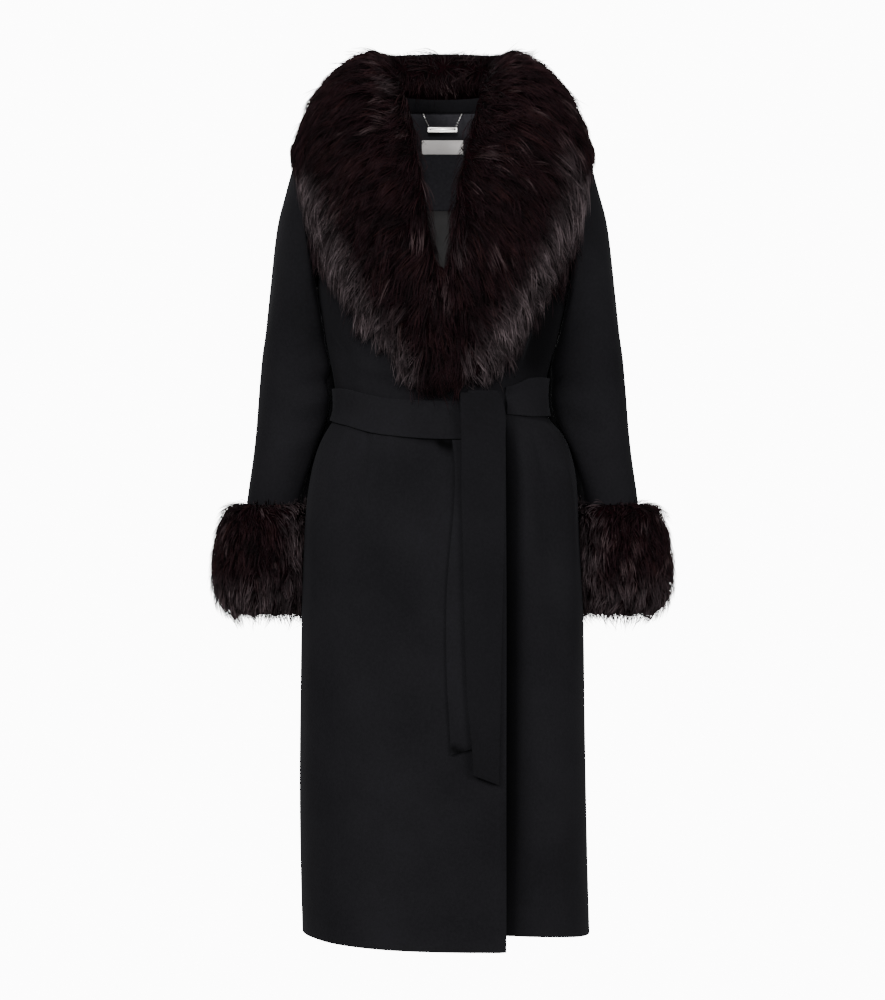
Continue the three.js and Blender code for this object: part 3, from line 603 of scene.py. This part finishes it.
# On the hanging ends along is X.
hangingCreases = [
    (46, -425, 52, -500, 8, -1.6),
    (66, -424, 72, -520, 8, 1.6),
    (36, -560, 40, -760, 9, 1.2),
    (72, -600, 70, -840, 9, -1.2),
    (22, -500, 26, -700, 7, 1.4),
    (50, -780, 62, -950, 10, 1.0),
]


def hangingPlace(points):
    forward = np.tile([0.0, -1.0, 0.0], (len(points), 1))
    return points[:, 0] / mm, points[:, 2] / mm, forward


beltPieces = {
    # name: node, where its creases lie, wall in millimetres, flat size, how it is held and what it rests on
    "beltWaist": ("belt_waist", bodyPlace, beltCreases, 3, (0.92, 0.056), "gathered",
                  ["coatFrontRight", "coatFrontLeft", "coatBack"]),
    "beltKnot": ("belt_knot", hangingPlace, hangingCreases, 4, (0.056, 0.062), "gathered", ["beltWaist"]),
    "beltEndUnder": ("belt_end_under", hangingPlace, hangingCreases, 3, (0.056, 0.44), "hung",
                     ["coatFrontRight"]),
    "beltEndOver": ("belt_end_over", hangingPlace, hangingCreases, 3, (0.056, 0.56), "hung", ["beltKnot"]),
}
beltLevels = 2

for name, (node, place, creases, wall, flat, held, restsOn) in beltPieces.items():
    # the hanging end takes the wool darkened with painted shade
    piece = copyOf(node, name, wools["paintedShadeHangingWool" if name == "beltEndOver" else "beltWool"])
    holdEdges(piece, wall)
    smoothThrough(piece, beltLevels)
    creaseCloth(piece, place, creases)
    softenEdges(piece, "belt")
    # painted shade in the folded tip of the end that lies under
    if name == "beltEndUnder":
        paintShade(piece, place, underTipPaintedShade)
print("belt tied")

# ---- inside the back neck ----

insidePieces = {
    # name: node, finish, slot, flat size
    "collarStand": ("collar_stand", wools["standWool"], "wool", (0.22, 0.018)),
    # the facing takes the wool lightened with painted light
    "backFacing": ("back_facing", wools["paintedLightFacingWool"], "wool", (0.37, 0.14)),
    "backLining": ("back_lining", lining, "lining", (0.26, 0.19)),
}
insideWall = 1.2  # millimetres
for name, (node, finish, slot, flat) in insidePieces.items():
    piece = copyOf(node, name, finish)
    holdEdges(piece, insideWall)
    smoothThrough(piece, 1)
    softenEdges(piece, "inside")
print("neck finished")

labelLook = {
    "dark": (0.84, 0.80, 0.78),
    "light": (0.97, 0.93, 0.91),
    "weave": (1500, 2, (0.25, 1, 1)),
    "patch": (40, 3),
    "bump": (0.1, 0.4),
    "sockets": {"Roughness": 0.5, "Specular IOR Level": 0.3},
}
threadLook = {
    "dark": (0.30, 0.288, 0.27),
    "light": (0.5, 0.48, 0.45),
    "grain": (2600, 2, (1, 1, 0.4)),
    "sockets": {"Roughness": 0.7},
}


def labelSatin(name, look):
    material, tree, shader, coords = newFinish(name, look)
    across = addNoise(tree, coords, *look["weave"])
    mixed = blend(tree, across, addNoise(tree, coords, *look["patch"]), 0.5)
    woven = addRamp(tree, mixed, look["dark"], look["light"], 0.35, 0.65)
    tree.links.new(woven, shader.inputs["Base Color"])
    tree.links.new(addBump(tree, across, *look["bump"]), shader.inputs["Normal"])
    return material


label = copyOf("neck_label", "neckLabel", labelSatin("labelSatin", labelLook))
softenEdges(label, "label", "thin")

# The stitches at the label's two ends, in millimetres
labelEnds = {"across": 28.9, "from": -52.6, "to": -37.2, "each": 1.4, "gap": 0.9, "thick": 0.28, "flat": 0.7}


def joinAll(parts, name, material):  # several objects as one piece
    bpy.ops.object.select_all(action="DESELECT")
    for part in parts:
        part.select_set(True)
    bpy.context.view_layer.objects.active = parts[0]
    bpy.ops.object.join()
    whole = bpy.context.object
    bpy.ops.object.transform_apply(location=True, rotation=True, scale=True)
    bpy.ops.object.shade_smooth()
    whole.name = name
    whole.data.materials.append(material)
    return whole


def stitches(tree, spots, look):  # short upright stitches laid on a surface
    made = []
    for x, z in spots:
        place = tree.ray_cast(Vector((x * mm, -0.5, z * mm)), Vector((0, 1, 0)))[0]
        if place is None:
            continue
        bpy.ops.mesh.primitive_uv_sphere_add(
            segments=8, ring_count=6, radius=look["thick"] * mm, location=place
        )
        stitch = bpy.context.object
        stitch.scale = (1, look["flat"], look["each"] / 2 / look["thick"])
        made.append(stitch)
    return made


labelTree = BVHTree.FromObject(label, bpy.context.evaluated_depsgraph_get())
step = labelEnds["each"] + labelEnds["gap"]
heights = np.arange(labelEnds["from"], labelEnds["to"], step)
spots = [(side * labelEnds["across"], z) for side in (-1, 1) for z in heights]
sewn = joinAll(stitches(labelTree, spots, labelEnds), "labelStitches", grainFinish("labelThread", threadLook))
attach(sewn, "coat")
print("label sewn in")

# ---- hanger ----

metalLook = {
    "brush": (900, 2, (0.06, 1, 1)),
    "bump": (0.05, 0.3),
    "roughness": (0.24, 0.4),
    "sockets": {"Base Color": (0.62, 0.60, 0.58, 1), "Metallic": 1.0},
}


def brushedMetal(name, look):
    material, tree, shader, coords = newFinish(name, look)
    brushed = addNoise(tree, coords, *look["brush"])
    varyRoughness(tree, brushed, shader, *look["roughness"])
    tree.links.new(addBump(tree, brushed, *look["bump"]), shader.inputs["Normal"])
    return material


metal = brushedMetal("brushedMetal", metalLook)

bar = meshOf("hanger_bar", "hangerBar", metal, weld["metal"], False)
softenEdges(bar, "metal", "thin")
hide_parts("hanger_bar")
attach(bar, "hanger")

# Places are for the wearer's left. A link is its length, width and wire.
chainLook = {
    "hole": (18.5, 70.0, -22.8),  # in the bar
    "foot": (20.3, 70.0, -18.0),
    "seam": (28.3, 70.0, 0.2),
    "link": (2.7, 1.7, 0.42),
    "barLink": (6.2, 3.4, 0.5),
    "seamLink": (3.4, 3.2, 0.5),
    "barFacing": (0.96, 0, -0.28),
    "seamFacing": (0, 0.4, 1),
    "pitch": 1.95,
}


def addLink(centre, axis, facing, length, wide, wire):  # long along axis, its hole looks along facing
    bpy.ops.mesh.primitive_torus_add(
        major_segments=14, minor_segments=8, major_radius=0.5, minor_radius=wire / (wide - wire) / 2
    )
    made = bpy.context.object
    long = Vector(axis).normalized()
    hole = Vector(facing)
    hole = (hole - long * hole.dot(long)).normalized()
    turn = Vector((1, 0, 0)).rotation_difference(long)
    made.rotation_euler = turn.to_euler()
    bpy.ops.object.transform_apply(location=False, rotation=True, scale=False)
    turnBack = (turn @ Vector((0, 0, 1))).rotation_difference(hole)
    points = np.array([turnBack @ Vector(p) for p in readPoints(made.data)])
    stretch = (length - wire) / (wide - wire)
    points += np.outer(points @ np.array(long) * (stretch - 1), np.array(long))
    writePoints(made.data, (points * (wide - wire) + np.array(centre)) * mm)
    return made


for name, side in (("Right", -1), ("Left", 1)):
    hole, foot, seam = (
        Vector((side * x, y, z)) for x, y, z in (chainLook[place] for place in ("hole", "foot", "seam"))
    )
    way = seam - foot
    count = int(way.length / chainLook["pitch"])
    x, y, z = chainLook["barFacing"]
    links = [addLink((hole + foot) / 2, foot - hole, (x * side, y, z), *chainLook["barLink"])]
    links.append(addLink(seam, (1, 0, 0), chainLook["seamFacing"], *chainLook["seamLink"]))
    for i in range(count + 1):
        facing = (0, 1, 0) if i % 2 else (way.z, 0, -way.x)
        links.append(addLink(foot + way * (i / count), way, facing, *chainLook["link"]))
    chain = joinAll(links, "hangerChain" + name, metal)
    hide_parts("hanger_chain_" + name.lower())
    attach(chain, "hanger")
print("hanger ready")

# ---- fur ----

furLook = {
    "root": (0.0011, 0.0003, 0.0004),
    "body": (0.0078, 0.0020, 0.0031),  # burgundy black
    "tip": (0.0215, 0.0108, 0.0132),
    "grey": (0.128, 0.104, 0.109),  # the paler tips near the outer edge
    "brown": (0.0190, 0.0072, 0.0060),
    "shine": (60, 3),
    "roughness": (0.42, 0.64),
    "sockets": {"Specular IOR Level": 0.07},
}
peltLook = {
    "dark": furLook["root"],
    "light": furLook["body"],
    "grain": (420, 5),
    "bump": (3, 0.9),
    "sockets": {"Roughness": 0.9, "Specular IOR Level": 0.02},
}


def furFinish(name, look):  # furTone is the colour along each hair
    material, tree, shader, coords = newFinish(name, look)
    tone = tree.nodes.new("ShaderNodeAttribute")
    tone.attribute_name = "furTone"
    tree.links.new(tone.outputs["Color"], shader.inputs["Base Color"])
    varyRoughness(tree, addNoise(tree, coords, *look["shine"]), shader, *look["roughness"])
    return material


fur = furFinish("burgundyFur", furLook)
pelt = grainFinish("underFur", peltLook)

# The line where the collar rolls out of the neck, on the wearer's left from the tip up to the back.
rollLine = [
    (0.024, -0.150, -0.409),
    (0.020, -0.168, -0.340),
    (0.006, -0.176, -0.262),
    (0.010, -0.172, -0.190),
    (0.024, -0.146, -0.100),
    (0.040, -0.080, -0.030),
    (0.055, -0.020, 0.020),
    (0.060, 0.020, 0.044),
    (0.050, 0.055, 0.052),
    (0.000, 0.074, 0.054),
]
# Its outer edge on the front, where the tips are palest.
paleLine = [
    (0.070, -0.125, -0.408),
    (0.100, -0.130, -0.361),
    (0.128, -0.132, -0.320),
    (0.152, -0.128, -0.282),
    (0.174, -0.118, -0.244),
    (0.198, -0.100, -0.200),
    (0.214, -0.075, -0.150),
]

# Paler patches in the pelt: place, radius, how pale
palePatches = [
    (-0.096, -0.070, 0.012, 0.030, 0.40),
    (-0.070, -0.110, -0.020, 0.022, 0.25),
    (-0.075, -0.150, -0.330, 0.030, 0.30),
    (0.185, -0.090, -0.120, 0.040, 0.45),
    (0.030, -0.175, -0.250, 0.022, 0.35),
    (0.060, -0.100, 0.020, 0.026, 0.18),
    (0.000, 0.080, 0.070, 0.075, 0.14),
]


def alongLine(line, count):  # evenly spread points on a line of a few points
    line = np.array(line)
    lengths = np.concatenate([[0], np.cumsum(np.linalg.norm(np.diff(line, axis=0), axis=1))])
    at = np.linspace(0, lengths[-1], count)
    return np.column_stack([np.interp(at, lengths, line[:, i]) for i in range(3)])


def nearestOn(points, spots):  # the nearest of a few spots to each point, and how far it is
    away = points[:, None, :] - spots[None, :, :]
    far = np.linalg.norm(away, axis=2)
    nearest = far.argmin(axis=1)
    return spots[nearest], far[np.arange(len(points)), nearest]


def bothSides(line, count):
    return np.concatenate([alongLine(line, count), alongLine([(-x, y, z) for x, y, z in line], count)])


neckRoll = bothSides(rollLine, 60)
paleEdge = bothSides(paleLine, 30)

# Where the fur changes, in metres: nothing of it at the first number and all of it at the second
zones = {
    "offRoll": (-0.005, 0.030),  # distance from the line of the roll
    "towardsTip": (-0.02, -0.36),
    "offShoulder": (0.165, 0.205),
    "belowShoulder": (-0.03, -0.10),
    "downBack": (0.02, 0.08),
    "lowerFront": (-0.10, -0.16),
    "behindFront": (-0.02, 0.03),
    "offPaleEdge": (0.010, 0.055),
    "neckTop": (0.02, 0.07),
    "offNeck": (0.045, 0.080),
    "shoulderSide": (0.17, 0.21),
    "shoulderTop": (-0.13, -0.07),
    "cuffTop": (-0.612, -0.580),
    "cuffTips": (-0.68, -0.73),
    "cuffInner": (0.24, 0.20),
}
furShares = {
    "fall": 0.40,  # how steeply the hair falls, against its way out from the roll
    "fallAtTip": 1.5,
    "fallAtSide": 2.4,
    "fallAtBack": 0.9,
    "shorter": 0.5,  # cut off the hair at the top and over the shoulders
    "cuffLength": 0.8,
    "cuffSpread": 0.25,  # the cuffs' way out, and how it grows and rises at their upper edge
    "topSpread": 1.2,
    "topRise": 1.5,
    "cuffTipPale": 0.55,
    "cuffInnerPale": 0.6,
}
cuffMiddle = (0.255, 0.043, -0.66)


def zone(name, values):
    return smooth(*zones[name], values)


def collarFlow(points):  # out from the roll, falling more and more towards the tips
    spots, far = nearestOn(points, neckRoll)
    away = unit(points - spots) * zone("offRoll", far)[:, None]
    x, y, z = np.abs(points[:, 0]), points[:, 1], points[:, 2]
    fall = furShares["fall"] + furShares["fallAtTip"] * zone("towardsTip", z)
    fall += furShares["fallAtSide"] * zone("offShoulder", x) * zone("belowShoulder", z)
    back = zone("downBack", y)
    fall = fall * (1 - back) + furShares["fallAtBack"] * back
    return away - fall[:, None] * np.array([0, 0, 1.0])


def collarPale(points):
    _, far = nearestOn(points, paleEdge)
    lower = zone("lowerFront", points[:, 2]) * (1 - zone("behindFront", points[:, 1]))
    pale = lower * (1 - zone("offPaleEdge", far))
    for x, y, z, radius, share in palePatches:
        far = np.linalg.norm(points - np.array([x, y, z]), axis=1)
        pale = np.maximum(pale, share * (1 - smooth(0.3 * radius, radius, far)))
    return pale


def collarShort(points):  # the hair is short over the shoulders and along the top
    x, z = np.abs(points[:, 0]), points[:, 2]
    top = zone("neckTop", z) * zone("offNeck", x)
    wide = zone("shoulderSide", x) * zone("shoulderTop", z)
    return 1 - furShares["shorter"] * np.maximum(top, wide)


def cuffShort(points):
    return np.full(len(points), furShares["cuffLength"])


def cuffFlow(points):  # down the sleeve, and out over the upper edge
    side = np.sign(points[:, 0])
    x, y, _ = cuffMiddle
    out = unit(points[:, :2] - np.column_stack([side * x, np.full_like(side, y)]))
    top = zone("cuffTop", points[:, 2])
    spread = furShares["cuffSpread"] + furShares["topSpread"] * top
    return np.column_stack([out * spread[:, None], furShares["topRise"] * top - 1])


def cuffPale(points):
    low = zone("cuffTips", points[:, 2]) * furShares["cuffTipPale"]
    inner = zone("cuffInner", np.abs(points[:, 0])) * furShares["cuffInnerPale"]
    return np.maximum(low, inner)


# The place that the fur faces away from
def collarCore(points):
    return np.tile((0, 0.03, -0.20), (len(points), 1))


def cuffCore(points):  # on the cuff's middle line, half as far from its middle as each point
    x, y, z = cuffMiddle
    return np.column_stack([np.sign(points[:, 0]) * x, np.full(len(points), y), (points[:, 2] + z) / 2])


# under and guard are the hairs in the two coats of fur, inset and long are in millimetres, and fluff is how
# much the hair stands off.
collarFur = {"flow": collarFlow, "pale": collarPale, "short": collarShort, "core": collarCore,
             "long": 46, "fluff": 1.0}
frontFur = {**collarFur, "under": 7000, "guard": 6400, "inset": 7}
backFur = {**collarFur, "under": 6400, "guard": 5600, "inset": 4}
cuffFur = {"flow": cuffFlow, "pale": cuffPale, "short": cuffShort, "core": cuffCore,
           "long": 34, "fluff": 1.5, "under": 5000, "guard": 5000, "inset": 6}
furPieces = {
    "collarRight": {**frontFur, "node": "fur_collar_right", "seed": 3},
    "collarBack": {**backFur, "node": "fur_collar_back", "seed": 5},
    "collarLeft": {**frontFur, "node": "fur_collar_left", "seed": 7},
    "cuffRight": {**cuffFur, "node": "fur_cuff_right", "seed": 11},
    "cuffLeft": {**cuffFur, "node": "fur_cuff_left", "seed": 13},
}
hairs = {
    # share of the piece's hair length, width in millimetres, lift of the root in degrees, rings before the
    # tip, and how far the tips may pass the outline, in millimetres
    "under": {"length": 0.62, "width": 1.9, "lift": 34, "rings": 1, "over": (-1, 4)},
    "guard": {"length": 1.0, "width": 1.15, "lift": 27, "rings": 3, "over": (1, 9)},
}


# How far out the fur reaches at each height below the shoulder, where its edge turns in over the sleeve
edge = {
    "heights": [-0.200, -0.162, -0.127, -0.091, -0.055, 0.0],
    "widths": [0.198, 0.201, 0.206, 0.214, 0.222, 0.240],
    "lowest": -0.3,
    "turned": 0.6,
}


def turnIn(points):
    widest = np.interp(points[:, 2], edge["heights"], edge["widths"])
    beyond = np.maximum(np.abs(points[:, 0]) - widest, 0) * (points[:, 2] > edge["lowest"])
    moved = points.copy()
    moved[:, 0] -= np.sign(points[:, 0]) * edge["turned"] * beyond
    return moved


boxRoom = 8 * mm  # how far hair may stand out of the whole coat's box


def treeOf(*objects):  # one search tree for the outsides of several pieces
    points, faces = [], []
    for piece in objects:
        start = len(points)
        points += [v.co.copy() for v in piece.data.vertices]
        faces += [[start + i for i in polygon.vertices] for polygon in piece.data.polygons]
    return BVHTree.FromPolygons(points, faces)


# What the hair lies on
bedNodes = (
    "front_right", "front_left", "back", "sleeve_right", "sleeve_left", "belt_waist", "belt_end_over"
)
bed = treeOf(*[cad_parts[node] for node in bedNodes])

# The firm part of a fur piece, in millimetres: its mesh, how near the next length of fur is where it is sewn
# on, how far it is drawn over there, how deep a piece is looked through, and the share of its own thickness
# that it may shrink by
peltForm = {"voxel": 7, "sewnWithin": 6, "past": 1.5, "deepest": 200, "share": 0.33, "relax": 8}


def setIn(piece, inset, beside):  # a fur piece's firm part, inside the reach of its hair
    only(piece)
    piece.data.remesh_voxel_size = peltForm["voxel"] * mm
    bpy.ops.object.voxel_remesh()
    own = treeOf(piece)
    moved = readPoints(piece.data)
    joined = []
    for i, vertex in enumerate(piece.data.vertices):
        if beside.ray_cast(vertex.co, vertex.normal, peltForm["sewnWithin"] * mm)[0] is not None:
            joined.append((i, vertex.co + vertex.normal * peltForm["past"] * mm))
            continue
        inwards = -vertex.normal
        far = own.ray_cast(vertex.co + inwards * mm, inwards, peltForm["deepest"] * mm)[3]
        thick = far + mm if far is not None else 4 * inset * mm
        moved[i] += np.array(inwards) * min(inset * mm, peltForm["share"] * thick)
    writePoints(piece.data, moved)
    only(piece)
    relax = piece.modifiers.new("relax", "SMOOTH")
    relax.iterations = peltForm["relax"]
    bpy.ops.object.modifier_apply(modifier="relax")
    for i, place in joined:
        piece.data.vertices[i].co = place
    if piece.name.startswith("collar"):
        writePoints(piece.data, turnIn(readPoints(piece.data)))
    bpy.ops.object.shade_smooth()


shownAbove = -0.35  # cosine to the way out, above which a side grows hair


def rootsOn(piece, count, core, rng):  # spots on the outward sides, evenly by area, with normals
    mesh = piece.data
    mesh.calc_loop_triangles()
    corners = np.array([t.vertices[:] for t in mesh.loop_triangles])
    points = readPoints(mesh)
    normals = np.array([v.normal[:] for v in mesh.vertices])
    a, b, c = (points[corners[:, i]] for i in range(3))
    across = np.cross(b - a, c - a)
    middle = (a + b + c) / 3
    shown = (unit(across) * unit(middle - core(middle))).sum(axis=1) > shownAbove
    weight = np.linalg.norm(across, axis=1) * shown
    chosen = rng.choice(len(corners), size=count, p=weight / weight.sum())
    u, v = rng.random(count), rng.random(count)
    over = u + v > 1
    u[over], v[over] = 1 - u[over], 1 - v[over]
    mix = np.stack([1 - u - v, u, v], axis=1)[:, :, None]
    return (points[corners[chosen]] * mix).sum(axis=1), unit((normals[corners[chosen]] * mix).sum(axis=1))


growth = {
    "hairsInLock": 9,
    "batch": 1000,  # hairs sorted into locks at a time
    "turn": (0.30, 0.16),  # spread of a lock, and of its hairs, in radians
    "lockLength": (0.78, 1.12),
    "hairLength": (0.8, 1.15),
    "lift": (0.6, 1.35),
    "lying": 0.12,  # the bend of each hair: along the pelt, down and in
    "droop": 0.22,
    "press": 0.30,
    "gathered": (0.25, 0.6),  # towards the tip of the lock
    "tipOff": 3,  # millimetres from the pelt to the tip of a lock
    "shortest": 0.3,  # share of a hair that is always kept
    "outside": 0.4,  # share that is kept of a hair that leaves the coat's box
    "clear": (1.5, 6.0),  # millimetres off the cloth below
    "bedWithin": 0.03,
    "width": (0.7, 1.25),
    "thinner": 0.45,  # how much of its width a hair loses with its length
    "pale": (0.3, 1.3),
    "paleLock": (1.75, 0.2),  # how odd a lock has to be to be paler, and by how much
    "brown": (0.25, 0.2, 0.7),  # from the lock, from the hair, and at most
    "bright": (0.36, 0.22, 0.35, 2),  # from the lock, from the hair, at least and at most
}
hairSection = ((-0.5, 0.0), (0.5, 0.0), (0.0, 0.42))  # aside and up, in hair widths
# Where along a hair its root colour ends and its tip colour begins, and how warm the root is
toneRun = {"body": 1 / 1.8, "tip": 0.55, "warm": 0.35}


def liftOff(points, clear):  # keeps hair from sinking into the cloth below it
    for i, point in enumerate(points):
        near, normal, _, _ = bed.find_nearest(Vector(point), growth["bedWithin"])
        if near is not None and (Vector(point) - near).dot(normal) < clear[i]:
            points[i] = near + normal * clear[i]
    return points


def keptShare(tips, hull, inset, most):  # how much of each hair stays inside the fur's outline
    share = np.ones(len(tips))
    for i, tip in enumerate(tips):
        near, normal, _, _ = hull.find_nearest(Vector(tip))
        over = (Vector(tip) - near).dot(normal)
        if over > most[i]:
            share[i] = max(growth["shortest"], (inset + most[i]) / (inset + over))
    return share[:, None]


def sortIntoLocks(roots, locks):  # each hair joins the nearest lock
    lock = np.empty(len(roots), dtype=int)
    for start in range(0, len(roots), growth["batch"]):
        part = slice(start, start + growth["batch"])
        lock[part] = ((roots[part, None] - locks[None]) ** 2).sum(axis=2).argmin(axis=1)
    return lock


def layAlong(flow, spots, normals, turned):  # which way hair lies on the pelt, turned aside by so much
    way = flow(spots)
    way = unit(way - normals * (way * normals).sum(axis=1, keepdims=True))
    return unit(way * np.cos(turned) + np.cross(normals, way) * np.sin(turned))


def hairPoints(spine, reach, normals, width):
    points = []
    for row in range(len(spine) - 1):
        onward = unit(spine[row + 1] - spine[row])
        aside = unit(np.cross(onward, normals))
        upward = np.cross(aside, onward)
        t = reach[row]
        w = width * (0.75 + 0.5 * t if t < 0.5 else 1.15 - 0.6 * t)  # widest in the middle
        points += [spine[row] + aside * w * s + upward * w * u for s, u in hairSection]
    return np.stack(points + [spine[-1]], axis=1)


def hairTones(reach, pale, brown, bright):
    root, body, tip, grey, warm = (np.array(furLook[k]) for k in ("root", "body", "tip", "grey", "brown"))
    tones = []
    for t in reach:
        colour = root + (body - root) * min(1, t / toneRun["body"])
        colour = colour + (tip - colour) * max(0, t - toneRun["tip"]) / (1 - toneRun["tip"])
        colour = colour * (1 - brown) + warm * brown * (toneRun["warm"] + (1 - toneRun["warm"]) * t)
        colour = colour * (1 - pale * t) + grey * pale * t
        tones += [np.column_stack([colour * bright, np.ones(len(pale))])] * (3 if t < 1 else 1)
    return np.stack(tones, axis=1)


def growHair(piece, look, hair, rng):
    kind, count = hairs[hair], look[hair]
    roots, normals = rootsOn(piece, count, look["core"], rng)
    locks, lockNormals = rootsOn(piece, count // growth["hairsInLock"], look["core"], rng)
    lock = sortIntoLocks(roots, locks)
    lockTurn, hairTurn = growth["turn"]
    turnOfLock = rng.normal(0, lockTurn, len(locks))
    lengthOfLock = rng.uniform(*growth["lockLength"], len(locks))
    toneOfLock = rng.normal(0, 1, len(locks))

    turned = (turnOfLock[lock] + rng.normal(0, hairTurn, count))[:, None]
    lying = layAlong(look["flow"], roots, normals, turned)
    lift = np.radians(kind["lift"] * look["fluff"]) * rng.uniform(*growth["lift"], count)[:, None]
    start = lying * np.cos(lift) + normals * np.sin(lift)
    fullLength = look["long"] * mm * kind["length"]
    short = look["short"](roots)
    length = (fullLength * lengthOfLock[lock] * rng.uniform(*growth["hairLength"], count) * short)[:, None]
    bend = lying * growth["lying"] + np.array([0, 0, -1.0]) * growth["droop"] - normals * growth["press"]
    reach = np.linspace(0, 1, kind["rings"] + 1)
    spine = [roots + length * (start * t + bend * t * t) for t in reach]

    lyingOfLock = layAlong(look["flow"], locks, lockNormals, turnOfLock[:, None])
    goal = locks + lyingOfLock * fullLength + lockNormals * growth["tipOff"] * mm
    together = rng.uniform(*growth["gathered"], count)[:, None] / look["fluff"] ** 1.5
    spine = [p + (goal[lock] - spine[-1]) * together * t ** 1.5 for p, t in zip(spine, reach)]
    most = rng.uniform(*kind["over"], count) * mm * look["fluff"] ** 2 * short ** 2
    share = keptShare(spine[-1], look["hull"], look["inset"] * mm, most)
    low, high = np.array(cadBox[0]) - boxRoom, np.array(cadBox[1]) + boxRoom
    outside = ((spine[-1] < low) | (spine[-1] > high)).any(axis=1, keepdims=True)
    share = np.where(outside, growth["outside"] * share, share)
    spine = [roots + (p - roots) * share for p in spine]
    clear = rng.uniform(*growth["clear"], count) * mm
    spine[1:] = [liftOff(p, clear) for p in spine[1:]]

    width = kind["width"] * mm * rng.uniform(*growth["width"], count)[:, None]
    width *= 1 - growth["thinner"] * (1 - share)
    odd, paler = growth["paleLock"]
    pale = look["pale"](spine[-1]) * rng.uniform(*growth["pale"], count)
    pale = np.clip(pale + (toneOfLock[lock] > odd) * paler, 0, 1)[:, None]
    ofLock, ofHair, most = growth["brown"]
    brown = np.clip(ofLock * toneOfLock[lock] + rng.normal(0, ofHair, count), 0, most)[:, None]
    ofLock, ofHair, least, most = growth["bright"]
    bright = np.clip(1 + ofLock * toneOfLock[lock] + rng.normal(0, ofHair, count), least, most)[:, None]

    points = hairPoints(spine, reach, normals, width).reshape(-1, 3)
    if piece.name.startswith("collar"):
        points = turnIn(points)
    return points, hairTones(reach, pale, brown, bright).reshape(-1, 4), hairFaces(count, kind["rings"])


def hairFaces(count, rings):
    faces = [(2, 1, 0)]
    for row in range(0, rings * 3 - 3, 3):
        for corner in range(3):
            here, beside = row + corner, row + (corner + 1) % 3
            faces += [(here, beside, beside + 3), (here, beside + 3, here + 3)]
    last = (rings - 1) * 3
    faces += [(last + corner, last + (corner + 1) % 3, rings * 3) for corner in range(3)]
    starts = np.arange(count)[:, None, None] * (rings * 3 + 1)
    return (np.array(faces)[None] + starts).reshape(-1, 3)


def meshFrom(name, points, faces, tones):
    mesh = bpy.data.meshes.new(name)
    mesh.vertices.add(len(points))
    mesh.vertices.foreach_set("co", points.ravel())
    mesh.loops.add(faces.size)
    mesh.loops.foreach_set("vertex_index", faces.ravel())
    mesh.polygons.add(len(faces))
    mesh.polygons.foreach_set("loop_start", np.arange(0, faces.size, 3))
    mesh.update(calc_edges=True)
    tone = mesh.color_attributes.new("furTone", "FLOAT_COLOR", "POINT")
    tone.data.foreach_set("color", tones.ravel())
    mesh.polygons.foreach_set("use_smooth", np.ones(len(faces), dtype=bool))
    piece = bpy.data.objects.new(name, mesh)
    link(piece)
    return piece


for name, look in furPieces.items():
    under = copyOf(look["node"], name + "Pelt", pelt)
    look["hull"] = treeOf(under)
    others = [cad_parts[other["node"]] for other in furPieces.values() if other is not look]
    setIn(under, look["inset"], treeOf(*others))
    rng = np.random.default_rng(look["seed"])
    points, tones, faces = [], [], []
    for hair in hairs:
        grown, tone, made = growHair(under, look, hair, rng)
        faces.append(made + sum(len(p) for p in points))
        points.append(grown)
        tones.append(tone)
    coat = meshFrom(name + "Fur", np.concatenate(points), np.concatenate(faces), np.concatenate(tones))
    coat.data.materials.append(fur)
    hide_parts(look["node"])
    for piece in (under, coat):
        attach(piece, "coat")
    print("grown", name, len(coat.data.polygons))
print("fur ready")

bpy.context.view_layer.update()
